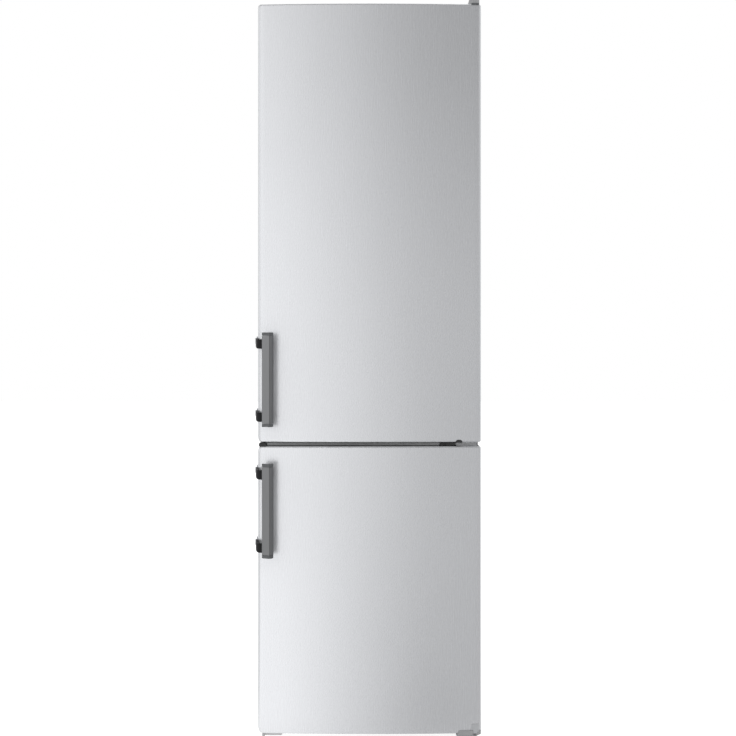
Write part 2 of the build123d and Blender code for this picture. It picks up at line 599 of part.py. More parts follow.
with BuildPart() as compressor:
    with BuildSketch(Plane.XY.offset(pot[0])):
        with Locations((COMPRESSOR_X, compressor_y)):
            Ellipse(COMPRESSOR_LENGTH / 2, COMPRESSOR_WIDTH / 2)
    extrude(amount=COMPRESSOR_HEIGHT)
    fillet(compressor.edges().group_by(Axis.Z)[-1], COMPRESSOR_ROUND)
    fillet(compressor.edges().group_by(Axis.Z)[0], COMPRESSOR_ROUND / 2)
    with BuildSketch(Plane.XY.offset(middle(pot) - WELD_FLANGE / 2)):
        with Locations((COMPRESSOR_X, compressor_y)):
            Ellipse(COMPRESSOR_LENGTH / 2 + WELD_FLANGE, COMPRESSOR_WIDTH / 2 + WELD_FLANGE)
    extrude(amount=WELD_FLANGE)
    with Locations((COMPRESSOR_X, compressor_y, middle(plate_z))):
        Box(*FOOT_PLATE)
    relay_y = (compressor_y - RELAY_BOX[1] / 2, compressor_y + RELAY_BOX[1] / 2)
    block((relay_x, relay_x + RELAY_BOX[0]), relay_y, (relay_z, relay_z + RELAY_BOX[2]))
    for x, y in grommets:
        rod(x, y, plate_z, GROMMET_NECK, Mode.SUBTRACT)
save(compressor, "compressor")

with BuildPart() as compressor_grommets:
    for x, y in grommets:
        rod(x, y, (Z_TRAY, plate_z[0]), GROMMET_RADIUS)
        rod(x, y, plate_z, GROMMET_NECK)
        rod(x, y, (plate_z[1], Z_TRAY + GROMMET_HEIGHT), GROMMET_RADIUS)
save(compressor_grommets, "compressor_grommets")

with BuildPart() as drip_tray:
    with Locations((COMPRESSOR_X, compressor_y, pot[1] + DRIP_SIZE[2] / 2)):
        Box(*DRIP_SIZE)
    fillet(drip_tray.edges().filter_by(Axis.Z), DRIP_RADIUS)
    offset(amount=-DRIP_WALL, openings=drip_tray.faces().sort_by(Axis.Z)[-1])
save(drip_tray, "drip_tray")


def tube(points, radius, bend):
    """A round tube along straight runs joined by tangent arcs."""
    with BuildPart() as pipe:
        with BuildLine() as route:
            FilletPolyline(*points, radius=bend)
        with BuildSketch(Plane(origin=route.line @ 0, z_dir=route.line % 0)):
            Circle(radius)
        sweep()
    return pipe


tube_y = Y_END - WIRE - CONDENSER_TUBE
condenser_half = HALF_CABINET - CONDENSER_MARGIN
condenser_top = CONDENSER_BOTTOM + (CONDENSER_RUNS - 1) * CONDENSER_PITCH
wire_half = condenser_half - WIRE_MARGIN
wire_spacing = 2 * wire_half / (WIRE_COUNT - 1)
serpentine = []
for run in range(CONDENSER_RUNS):
    start = condenser_half if run % 2 else -condenser_half
    height = CONDENSER_BOTTOM + run * CONDENSER_PITCH
    serpentine += [(start, tube_y, height), (-start, tube_y, height)]

with BuildPart() as condenser:
    add(tube(serpentine, CONDENSER_TUBE, CONDENSER_BEND).part)
    wire_y = (tube_y + CONDENSER_TUBE - WIRE_SEAT, Y_END - WIRE_SEAT)
    wire_z = (CONDENSER_BOTTOM - WIRE_END, condenser_top + WIRE_END)
    for k in range(WIRE_COUNT):
        x = k * wire_spacing - wire_half
        block((x - WIRE / 2, x + WIRE / 2), wire_y, wire_z)
save(condenser, "condenser")

with BuildPart() as condenser_clips:
    for side in (-1, 1):
        for run in (1, CONDENSER_RUNS - 2):
            height = CONDENSER_BOTTOM + run * CONDENSER_PITCH
            x = side * (wire_half - wire_spacing / 2)
            half = wire_spacing / 2 - WIRE
            block((x - half, x + half), (Y_REAR, Y_END), (height - CLIP_HEIGHT / 2, height + CLIP_HEIGHT / 2))
    add(condenser.part, mode=Mode.SUBTRACT)
save(condenser_clips, "condenser_clips")

port_x = COMPRESSOR_X + DISCHARGE_X
port_y = compressor_y + COMPRESSOR_WIDTH / 2 - PORT_DEPTH
port_z = pot[0] + PORT_RISE
drier_x = DRIER_INSET - HALF_CABINET
drier_y = Y_REAR - DRIER_FROM_BACK
drier_z = (DRIER_BOTTOM, DRIER_BOTTOM + DRIER_LENGTH)
drier_bend = drier_z[1] + DRIER_LEAD
riser = condenser_half + RISER_GAP
crossing_z = CONDENSER_BOTTOM - BELOW_CONDENSER
suction_x = COMPRESSOR_X + SUCTION_X
suction_y = Y_REAR - SUCTION_FROM_BACK
suction_z = port_z + SUCTION_RISE
capillary_x = drier_x + CAPILLARY_REACH
capillary_z = drier_z[0] - CAPILLARY_DROP

discharge = [
    (port_x, port_y, port_z),
    (port_x, tube_y, port_z),
    (port_x, tube_y, crossing_z),
    (riser, tube_y, crossing_z),
    (riser, tube_y, condenser_top),
    (condenser_half, tube_y, condenser_top),
]
outlet = [
    (-condenser_half, tube_y, CONDENSER_BOTTOM),
    (-riser, tube_y, CONDENSER_BOTTOM),
    (-riser, tube_y, drier_bend),
    (-riser, drier_y, drier_bend),
    (drier_x, drier_y, drier_bend),
    (drier_x, drier_y, drier_z[1] - DRIER_INSERT),
]
capillary = [
    (drier_x, drier_y, drier_z[0] + DRIER_INSERT),
    (drier_x, drier_y, capillary_z),
    (capillary_x, drier_y, capillary_z),
    (capillary_x, drier_y, NICHE_TOP),
]
suction = [
    (suction_x, port_y, suction_z),
    (suction_x, suction_y, suction_z),
    (suction_x, suction_y, NICHE_TOP),
]

with BuildPart() as refrigerant_tubes:
    rod(drier_x, drier_y, drier_z, DRIER_RADIUS)
    fillet(refrigerant_tubes.edges().filter_by(GeomType.CIRCLE), DRIER_EDGE)
    add(tube(outlet, TUBE_RADIUS, DRIER_BEND).part)
    add(tube(capillary, CAPILLARY_RADIUS, CAPILLARY_BEND).part)
    add(tube(discharge, TUBE_RADIUS, TUBE_BEND).part)
    add(tube(suction, TUBE_RADIUS, TUBE_BEND).part)
    add(compressor.part, mode=Mode.SUBTRACT)
save(refrigerant_tubes, "refrigerant_tubes")

# ======== fridge interior ========

shelf_y = (Y_FACE + SHELF_FRONT, Y_BACK_WALL)
shelf_half = FRIDGE_HALF - SHELF_SIDE_GAP

with BuildPart() as glass_shelves:
    for top in shelf_tops:
        block((-shelf_half, shelf_half), shelf_y, (top - GLASS, top))
save(glass_shelves, "glass_shelves")

with BuildPart() as shelf_trims:
    for top in shelf_tops:
        level = top - GLASS / 2
        trim_z = (level - TRIM_HEIGHT / 2, level + TRIM_HEIGHT / 2)
        block((-shelf_half, shelf_half), (shelf_y[0] - TRIM_PROUD, shelf_y[0] + TRIM_DEPTH), trim_z)
        fillet(shelf_trims.edges().filter_by(Axis.X).group_by(Axis.Z)[-1].group_by(Axis.Y)[0], TRIM_EDGE)
    add(glass_shelves.part, mode=Mode.SUBTRACT)
save(shelf_trims, "shelf_trims")

panel_x = (-PANEL_SIZE[0] / 2, PANEL_SIZE[0] / 2)
panel_y = (Y_FACE + PANEL_FRONT, Y_FACE + PANEL_FRONT + PANEL_SIZE[1])
panel_z = (FRIDGE_CEILING - PANEL_SIZE[2], FRIDGE_CEILING)
button_z = middle(panel_z)
buttons = {"cold": -BUTTON_PITCH / 2, "quick": BUTTON_PITCH / 2}

with BuildPart() as control_panel:
    block(panel_x, panel_y, panel_z)
    fillet(control_panel.edges().filter_by(Axis.X).group_by(Axis.Z)[0], PANEL_EDGE)
    for x in buttons.values():
        half = BUTTON_SIZE[0] / 2 + SEAT_GAP
        tall = BUTTON_SIZE[1] / 2 + SEAT_GAP
        pocket_depth = BUTTON_SIZE[2] - BUTTON_PROUD + BUTTON_TRAVEL + BUTTON_OVERRUN
        pocket = (panel_y[0], panel_y[0] + pocket_depth)
        block((x - half, x + half), pocket, (button_z - tall, button_z + tall), Mode.SUBTRACT)
save(control_panel, "control_panel")

for use, x in buttons.items():
    with BuildPart() as button:
        half = BUTTON_SIZE[0] / 2
        tall = BUTTON_SIZE[1] / 2
        depth = (panel_y[0] - BUTTON_PROUD, panel_y[0] - BUTTON_PROUD + BUTTON_SIZE[2])
        block((x - half, x + half), depth, (button_z - tall, button_z + tall))
        fillet(button.edges().group_by(Axis.Y)[0], BUTTON_EDGE)
    save(button, f"button_{use}")

with BuildPart() as lamp_cover:
    lamp_y = (panel_y[1] + LAMP_GAP, panel_y[1] + LAMP_GAP + LAMP_SIZE[1])
    lamp_x = (-LAMP_SIZE[0] / 2, LAMP_SIZE[0] / 2)
    block(lamp_x, lamp_y, (FRIDGE_CEILING - LAMP_SIZE[2], FRIDGE_CEILING))
    fillet(lamp_cover.edges().group_by(Axis.Z)[0], LAMP_EDGE)
save(lamp_cover, "lamp_cover")


def drawer(x, y, z, wall, radius):
    """An open drawer: floor, four walls and a grip lip along the top of its front."""
    with BuildPart() as box:
        with BuildSketch(Plane.XY.offset(z[0])):
            with Locations((middle(x), middle(y))):
                RectangleRounded(x[1] - x[0], y[1] - y[0], radius)
        extrude(amount=z[1] - z[0])
        with BuildSketch(Plane.XY.offset(z[0] + wall)):
            with Locations((middle(x), middle(y))):
                RectangleRounded(x[1] - x[0] - 2 * wall, y[1] - y[0] - 2 * wall, radius - wall)
        extrude(amount=z[1] - z[0], mode=Mode.SUBTRACT)
        lip_x = (x[0] + radius, x[1] - radius)
        block(lip_x, (y[0] - LIP, y[0] + wall), (z[1] - wall, z[1]))
        block(lip_x, (y[0] - LIP, y[0] - LIP + wall), (z[1] - LIP_HEIGHT, z[1]))
    return box


crisper_z = (FRIDGE_FLOOR + SEAT_GAP, FRIDGE_FLOOR + CRISPER_HEIGHT - CRISPER_TOP_GAP)
crisper_y = (shelf_y[0] + LIP, Y_BACK_WALL - DRAWER_BACK_GAP)
crisper_outer = FRIDGE_HALF - CRISPER_SIDE_GAP
crisper_inner = CRISPER_CENTRE_GAP / 2
for name, x in (("left", (-crisper_outer, -crisper_inner)), ("right", (crisper_inner, crisper_outer))):
    save(drawer(x, crisper_y, crisper_z, CRISPER_WALL, DRAWER_RADIUS), f"crisper_{name}")

# ======== freezer interior ========

cover_back = Y_BACK_WALL - EVAPORATOR_ROOM
cover_y = (cover_back - COVER_SHEET, cover_back)
fan_z = FREEZER_CEILING - FAN_RADIUS - FAN_TOP_GAP
fan_hole = FAN_RADIUS + GRILLE_GAP
drawer_half = FREEZER_HALF - DRAWER_SIDE_GAP

with BuildPart() as evaporator_cover:
    block((-FREEZER_HALF, FREEZER_HALF), cover_y, (STEP_FLOOR, FREEZER_CEILING))
    rod_along_y(0, cover_y, fan_z, fan_hole, Mode.SUBTRACT)
    for bar in range(GRILLE_BARS):
        height = fan_z + (bar - (GRILLE_BARS - 1) / 2) * FAN_RADIUS / 2
        block((-fan_hole, fan_hole), cover_y, (height - GRILLE_BAR / 2, height + GRILLE_BAR / 2))
save(evaporator_cover, "evaporator_cover")

with BuildPart() as freezer_plates:
    plate_half = FREEZER_HALF - SHELF_SIDE_GAP
    for top in freezer_tiers[1:]:
        block((-plate_half, plate_half), (Y_FACE + DRAWER_START, cover_y[0]), (top - GLASS, top))
save(freezer_plates, "freezer_plates")

evaporator_y = (cover_back + EVAPORATOR_FRONT_GAP, Y_BACK_WALL - EVAPORATOR_BACK_GAP)
evaporator_z = (STEP_FLOOR + EVAPORATOR_RISE, STEP_FLOOR + EVAPORATOR_RISE + EVAPORATOR_HEIGHT)
evaporator_half = FREEZER_HALF - EVAPORATOR_SIDE_GAP

with BuildPart() as evaporator:
    for k in range(FIN_COUNT):
        x = (k / (FIN_COUNT - 1) * 2 - 1) * (evaporator_half - FIN)
        back = Y_BACK_WALL if k in (0, FIN_COUNT - 1) else evaporator_y[1]
        block((x - FIN / 2, x + FIN / 2), (evaporator_y[0], back), evaporator_z)
    for row in range(EVAPORATOR_TUBES):
        height = evaporator_z[0] + (row + 0.5) * EVAPORATOR_HEIGHT / EVAPORATOR_TUBES
        reach = evaporator_half + EVAPORATOR_TUBE_END
        rod_along_x((-reach, reach), middle(evaporator_y), height, EVAPORATOR_TUBE_RADIUS)
save(evaporator, "evaporator")

fan_y = (cover_back + FAN_GAP, cover_back + FAN_GAP + FAN_WIDTH)

with BuildPart() as fan_motor:
    motor_front = fan_y[1] + FAN_GAP
    rod_along_y(0, (motor_front, Y_BACK_WALL), fan_z, MOTOR_RADIUS)
    fillet(fan_motor.edges().group_by(Axis.Y)[0], MOTOR_EDGE)
    rod_along_y(0, (fan_y[0] + SHAFT_SETBACK, motor_front + MOTOR_EDGE), fan_z, SHAFT_RADIUS)
save(fan_motor, "fan_motor")

fan_plane = Plane(origin=(0, middle(fan_y), fan_z), x_dir=(1, 0, 0), z_dir=(0, -1, 0))

with BuildPart(fan_plane) as evaporator_fan:
    Cylinder(FAN_HUB, FAN_WIDTH)
    blade_start = FAN_HUB - BLADE_ROOT
    with PolarLocations((FAN_RADIUS + blade_start) / 2, FAN_BLADES):
        Box(FAN_RADIUS - blade_start, BLADE_CHORD, BLADE, rotation=(BLADE_ANGLE, 0, 0))
    Cylinder(SHAFT_RADIUS + PIN_PLAY, FAN_WIDTH, mode=Mode.SUBTRACT)
save(evaporator_fan, "evaporator_fan")

names = ("bottom", "middle", "top")
for tier, bottom in enumerate(freezer_tiers):
    drawer_z = (bottom + SEAT_GAP, bottom + TIER - GLASS - DRAWER_TOP_GAP)
    rear = Y_STEP if tier == 0 else cover_y[0]
    drawer_y = (Y_FACE + DRAWER_START + LIP, rear - DRAWER_BACK_GAP)
    freezer_drawer = drawer((-drawer_half, drawer_half), drawer_y, drawer_z, DRAWER_WALL, DRAWER_RADIUS)
    save(freezer_drawer, f"freezer_drawer_{names[tier]}")

# ======== doors ========


def door_section(inset, back):
    """A door's section from above: bowed front, rounded upright edges, straight sides, flat back."""
    half = HALF_DOOR - inset
    with BuildSketch() as section:
        with BuildLine():
            ThreePointArc((-half, Y_EDGE + inset), (0, Y_CROWN + inset), (half, Y_EDGE + inset))
            Polyline((half, Y_EDGE + inset), (half, back), (-half, back), (-half, Y_EDGE + inset))
        make_face()
        front = section.vertices().sort_by(Axis.Y)[0:2]
        fillet(front, EDGE_RADIUS - inset)
    return section.sketch


def door_skin(z):
    with BuildPart() as skin:
        with BuildSketch(Plane.XY.offset(z[0])):
            add(door_section(0, Y_DOOR_BACK))
            add(door_section(DOOR_SKIN, Y_DOOR_BACK), mode=Mode.SUBTRACT)
        extrude(amount=z[1] - z[0])
        for side in (-1, 1):
            limits = sorted((side * (HALF_DOOR - DOOR_SKIN), side * (HALF_DOOR - SKIN_RETURN)))
            block(limits, (Y_DOOR_BACK - DOOR_SKIN, Y_DOOR_BACK), z)
    return skin


def door_caps(z):
    """The end caps inside the skin, each with its hinge bore."""
    lower = (z[0] + CAP_RECESS, z[0] + CAP_RECESS + CAP_THICKNESS)
    upper = (z[1] - CAP_RECESS - CAP_THICKNESS, z[1] - CAP_RECESS)
    with BuildPart() as caps:
        for limits in (lower, upper):
            with BuildSketch(Plane.XY.offset(limits[0])):
                add(door_section(DOOR_SKIN, Y_DOOR_BACK - LINER))
            extrude(amount=CAP_THICKNESS)
            rod(X_PIN, Y_PIN, limits, PIN_RADIUS + PIN_PLAY, Mode.SUBTRACT)
    return caps


def door_foam(z, plug_half, plug_z):
    with BuildPart() as foam:
        start = z[0] + CAP_RECESS + CAP_THICKNESS
        with BuildSketch(Plane.XY.offset(start)):
            add(door_section(DOOR_SKIN, Y_DOOR_BACK - LINER))
        extrude(amount=z[1] - CAP_RECESS - CAP_THICKNESS - start)
        hollow = (plug_z[0] + LINER, plug_z[1] - LINER)
        depth = (Y_DOOR_BACK - LINER, Y_FACE + RIDGE_REACH - LINER)
        ring(plug_half - LINER, hollow, RIDGE_WIDTH - 2 * LINER, depth)
    return foam


def door_liner(z, plug_half, plug_z, lug_heights):
    """The inner moulding: a flat flange, a raised ring that enters the cabinet, and lugs for the racks."""
    half = HALF_DOOR - SKIN_RETURN
    with BuildPart() as liner:
        block((-half, half), (Y_DOOR_BACK - LINER, Y_DOOR_BACK), (z[0] + CAP_RECESS, z[1] - CAP_RECESS))
        ring(plug_half, plug_z, RIDGE_WIDTH, (Y_DOOR_BACK, Y_FACE + RIDGE_REACH))
        hollow = (plug_z[0] + LINER, plug_z[1] - LINER)
        depth = (Y_DOOR_BACK - LINER, Y_FACE + RIDGE_REACH - LINER)
        ring(plug_half - LINER, hollow, RIDGE_WIDTH - 2 * LINER, depth, Mode.SUBTRACT)
        for height in lug_heights:
            for side in (-1, 1):
                edge = side * (plug_half - RIDGE_WIDTH)
                limits = sorted((edge, edge - side * LUG[0]))
                block(limits, (Y_DOOR_BACK, Y_DOOR_BACK + LUG[1]), (height - LUG[2], height))
    return liner


def door_gasket(z):
    """The magnetic seal, with a groove round its outer side and its inner side."""
    half = HALF_DOOR - GASKET_INSET
    limits = (z[0] + GASKET_INSET, z[1] - GASKET_INSET)
    groove = (Y_DOOR_BACK + GASKET_LIP, Y_FACE - GASKET_LIP)
    inset = GASKET_WIDTH - GASKET_GROOVE
    with BuildPart() as gasket:
        ring(half, limits, GASKET_WIDTH, (Y_DOOR_BACK, Y_FACE))
        ring(half, limits, GASKET_GROOVE, groove, Mode.SUBTRACT)
        ring(half - inset, (limits[0] + inset, limits[1] - inset), GASKET_GROOVE, groove, Mode.SUBTRACT)
    return gasket


upper_z = (UPPER_BOTTOM, UPPER_TOP)
lower_z = (DOOR_BOTTOM, LOWER_TOP)
upper_plug = (FRIDGE_FLOOR + RIDGE_CLEARANCE, FRIDGE_CEILING - RIDGE_CLEARANCE)
lower_plug = (FREEZER_FLOOR + RIDGE_CLEARANCE, FREEZER_CEILING - RIDGE_CLEARANCE)
upper_half = FRIDGE_HALF - RIDGE_CLEARANCE
lower_half = FREEZER_HALF - FREEZER_PLUG_CLEARANCE
rack_half = upper_half - RIDGE_WIDTH
rack_bottoms = [UPPER_BOTTOM + FIRST_RACK + RACK_PITCH * k for k in range(RACK_COUNT)]
bottle_bottom = UPPER_BOTTOM + BOTTLE_RACK
dairy_bottom = UPPER_BOTTOM + DAIRY_BOTTOM
lugs = rack_bottoms + [bottle_bottom, dairy_bottom]

doors = (
    ("fridge_door", upper_z, upper_half, upper_plug, lugs),
    ("freezer_door", lower_z, lower_half, lower_plug, []),
)
for name, z, plug_half, plug_z, lug_heights in doors:
    save(door_skin(z), f"{name}_skin")
    save(door_caps(z), f"{name}_caps")
    save(door_foam(z, plug_half, plug_z), f"{name}_foam")
    save(door_liner(z, plug_half, plug_z, lug_heights), f"{name}_liner")
    save(door_gasket(z), f"{name}_gasket")


def rack(bottom, height, depth):
    """An open box between the door's side ridges, resting on their lugs."""
    centre = Y_DOOR_BACK + depth / 2
    with BuildPart() as box:
        with BuildSketch(Plane.XY.offset(bottom)):
            with Locations((0, centre)):
                RectangleRounded(2 * rack_half, depth, RACK_RADIUS)
        extrude(amount=height)
        with BuildSketch(Plane.XY.offset(bottom + RACK_WALL)):
            with Locations((0, centre)):
                RectangleRounded(2 * (rack_half - RACK_WALL), depth - 2 * RACK_WALL, RACK_RADIUS - RACK_WALL)
        extrude(amount=height, mode=Mode.SUBTRACT)
    return box


with BuildPart() as door_racks:
    for bottom in rack_bottoms:
        add(rack(bottom, RACK_HEIGHT, RACK_DEPTH).part)
save(door_racks, "door_racks")
save(rack(bottle_bottom, BOTTLE_RACK_HEIGHT, RACK_DEPTH), "bottle_rack")

dairy_top = dairy_bottom + DAIRY_HEIGHT
dairy_front = Y_DOOR_BACK + DAIRY_DEPTH
lid_y = Y_DOOR_BACK + LID_PIN_BACK
lid_z = dairy_top + LID_PIN_RISE

with BuildPart() as dairy_box:
    add(rack(dairy_bottom, DAIRY_HEIGHT, DAIRY_DEPTH).part)
    front = (dairy_front - LID_WALL - RACK_RADIUS, dairy_front)
    block((-rack_half, rack_half), front, (dairy_top - LID_DROP, dairy_top), Mode.SUBTRACT)
    for side in (-1, 1):
        limits = sorted((side * rack_half, side * (rack_half - RACK_WALL)))
        block(limits, (Y_DOOR_BACK, lid_y + LID_EAR_DEPTH), (dairy_top, lid_z + LID_EAR_HEIGHT))
        rod_along_x(limits, lid_y, lid_z, LID_PIN_RADIUS + PIN_PLAY, Mode.SUBTRACT)
save(dairy_box, "dairy_box")

with BuildPart() as dairy_lid:
    lid_half = rack_half - RACK_WALL - SEAT_GAP
    lid_bottom = dairy_top + SEAT_GAP
    lid_top = lid_bottom + LID_WALL
    block((-lid_half, lid_half), (lid_y, dairy_front - LID_WALL), (lid_bottom, lid_top))
    flap_bottom = lid_bottom - LID_DROP + LID_LAP
    block((-lid_half, lid_half), (dairy_front - LID_WALL, dairy_front), (flap_bottom, lid_top))
    fillet(dairy_lid.edges().filter_by(Axis.X).group_by(Axis.Y)[-1].group_by(Axis.Z)[-1], LID_EDGE)
    rod_along_x((LID_PIN_END - rack_half, rack_half - LID_PIN_END), lid_y, lid_z, LID_PIN_RADIUS)
save(dairy_lid, "dairy_lid")

# ======== handles ========

pivot_x = -HALF_DOOR - MOUNT_THICKNESS / 2
pivot_y = Y_EDGE + PIVOT_FROM_EDGE
eye_radius = MOUNT_THICKNESS / 2
bar_x = (BAR_INSET - HALF_DOOR, BAR_INSET - HALF_DOOR + BAR_WIDTH)
bar_y = (Y_HANDLE, Y_HANDLE + BAR_DEPTH)
handles = (
    ("fridge", (UPPER_BOTTOM + HANDLE_FROM_GAP, UPPER_BOTTOM + HANDLE_FROM_GAP + HANDLE_LENGTH)),
    ("freezer", (LOWER_TOP - HANDLE_FROM_GAP - HANDLE_LENGTH, LOWER_TOP - HANDLE_FROM_GAP)),
)


def bar_profile(limits):
    """A stretch of the bar's rounded section between two heights."""
    with BuildPart() as stretch:
        with BuildSketch(Plane.XY.offset(limits[0])):
            with Locations((middle(bar_x), middle(bar_y))):
                RectangleRounded(BAR_WIDTH, BAR_DEPTH, BAR_RADIUS)
        extrude(amount=limits[1] - limits[0])
    return stretch


arm_x = (-HALF_DOOR - MOUNT_THICKNESS, bar_x[0] + ARM_UNDER_BAR)
mount_x = (arm_x[0], -HALF_DOOR)
leg_x = (arm_x[0], arm_x[0] + ARM_THICKNESS)
arm_back = pivot_y - eye_radius - MOUNT_RELIEF


def arm_front(z):
    """The front of an arm: it drops from the door's side to the bar, and its outer lower corner is round."""
    half = ARM_HEIGHT / 2
    high = z + ARM_RISE
    low = z - ARM_DROP
    with BuildPart() as front:
        with BuildSketch(Plane.XZ.offset(-bar_y[1] - ARM_FRONT)):
            with BuildLine():
                Polyline(
                    (arm_x[0], high - half),
                    (arm_x[0], high + half),
                    (leg_x[1], high + half),
                    (bar_x[0], low + half),
                    (arm_x[1], low + half),
                    (arm_x[1], low - half),
                    (bar_x[0], low - half),
                    close=True,
                )
            make_face()
        extrude(amount=ARM_FRONT)
        corner = front.edges().filter_by(Axis.Y).group_by(Axis.X)[0].sort_by(Axis.Z)[0]
        fillet(corner, ARM_ROUND)
    return front


for name, span in handles:
    centres = (span[0] + ARM_FROM_END, span[1] - ARM_FROM_END)

    with BuildPart() as mounts:
        for z in centres:
            tall = (z + ARM_RISE - ARM_HEIGHT / 2, z + ARM_RISE + ARM_HEIGHT / 2)
            block(mount_x, (pivot_y, pivot_y + MOUNT_LENGTH), tall)
            rod(pivot_x, pivot_y, tall, eye_radius)
            eye = (middle(tall) - EYE_HEIGHT / 2 - SEAT_GAP, middle(tall) + EYE_HEIGHT / 2 + SEAT_GAP)
            slot = (pivot_y - eye_radius - MOUNT_RELIEF, pivot_y + eye_radius + MOUNT_RELIEF)
            block(mount_x, slot, eye, Mode.SUBTRACT)
            rod(pivot_x, pivot_y, eye, HANDLE_PIN_RADIUS)
    save(mounts, f"{name}_handle_mounts")

    with BuildPart() as arms:
        for z in centres:
            tall = (z + ARM_RISE - ARM_HEIGHT / 2, z + ARM_RISE + ARM_HEIGHT / 2)
            eye = (middle(tall) - EYE_HEIGHT / 2, middle(tall) + EYE_HEIGHT / 2)
            rod(pivot_x, pivot_y, eye, eye_radius - SEAT_GAP)
            block((leg_x[0] + SEAT_GAP, leg_x[1]), (arm_back, pivot_y), eye)
            block(leg_x, (bar_y[1] + ARM_FRONT, arm_back), tall)
            add(arm_front(z).part)
            rod(pivot_x, pivot_y, eye, HANDLE_PIN_RADIUS + PIN_PLAY, Mode.SUBTRACT)
        for cap in ((span[0], span[0] + BAR_CAP), (span[1] - BAR_CAP, span[1])):
            add(bar_profile(cap).part)
    save(arms, f"{name}_handle_arms")

    save(bar_profile((span[0] + BAR_CAP, span[1] - BAR_CAP)), f"{name}_handle_bar")
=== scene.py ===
import json
import math

import bmesh
import bpy
from mathutils import Matrix, Vector


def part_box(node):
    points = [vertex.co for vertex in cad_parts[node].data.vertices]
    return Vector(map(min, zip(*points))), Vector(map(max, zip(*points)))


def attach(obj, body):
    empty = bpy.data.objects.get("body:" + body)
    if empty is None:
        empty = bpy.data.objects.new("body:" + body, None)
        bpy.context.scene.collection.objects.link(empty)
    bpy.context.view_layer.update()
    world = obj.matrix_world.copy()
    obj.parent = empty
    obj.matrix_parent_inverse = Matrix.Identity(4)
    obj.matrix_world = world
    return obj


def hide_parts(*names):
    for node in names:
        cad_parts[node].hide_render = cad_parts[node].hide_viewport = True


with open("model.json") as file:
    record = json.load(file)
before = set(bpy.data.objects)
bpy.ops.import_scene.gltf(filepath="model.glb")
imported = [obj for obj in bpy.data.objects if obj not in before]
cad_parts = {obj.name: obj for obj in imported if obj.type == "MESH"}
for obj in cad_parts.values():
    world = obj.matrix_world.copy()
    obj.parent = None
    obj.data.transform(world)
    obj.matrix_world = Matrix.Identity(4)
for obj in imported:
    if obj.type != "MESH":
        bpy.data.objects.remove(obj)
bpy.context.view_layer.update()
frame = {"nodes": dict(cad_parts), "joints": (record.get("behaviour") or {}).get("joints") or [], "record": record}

MM = 0.001  # shapes are in millimetres until a piece is ended
SLOT_OF = {part["node"]: part["material_slot"] for part in frame["record"]["subparts"]}


def in_mm(metres):
    """Lengths in millimetres, to a thousandth of one."""
    return tuple(round(value / MM, 3) for value in metres)


def limits(node):
    """A node's limits along each axis."""
    return list(zip(*(in_mm(corner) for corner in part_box(node))))


# Where the axis of each joint that turns stands.
AXES = {joint["name"]: in_mm(joint["pos_m"]) for joint in frame["joints"] if "pos_m" in joint}


class Nodes:
    """A tree of shader nodes, and short ways to build it up."""

    def __init__(self, owner):
        owner.use_nodes = True
        self.tree = owner.node_tree

    def put(self, value, socket):
        """Gives a socket a number, a colour, a vector or another node's output."""
        if isinstance(value, (int, float, tuple)):
            socket.default_value = value
        else:
            self.tree.links.new(value, socket)

    def add(self, kind, sockets=None, **settings):
        """A new node with its settings, and with what goes into its sockets."""
        node = self.tree.nodes.new(kind)
        for name, value in settings.items():
            setattr(node, name, value)
        for socket, value in (sockets or {}).items():
            self.put(value, node.inputs[socket])
        return node


# ======== finishes ========

MICRON = 0.000001
NOISE_LOW, NOISE_HIGH = 0.3, 0.7  # nearly all values of the noise texture lie between these
WAVE_SCALE = 0.314159  # the scale at which the wave texture has one crest to the metre


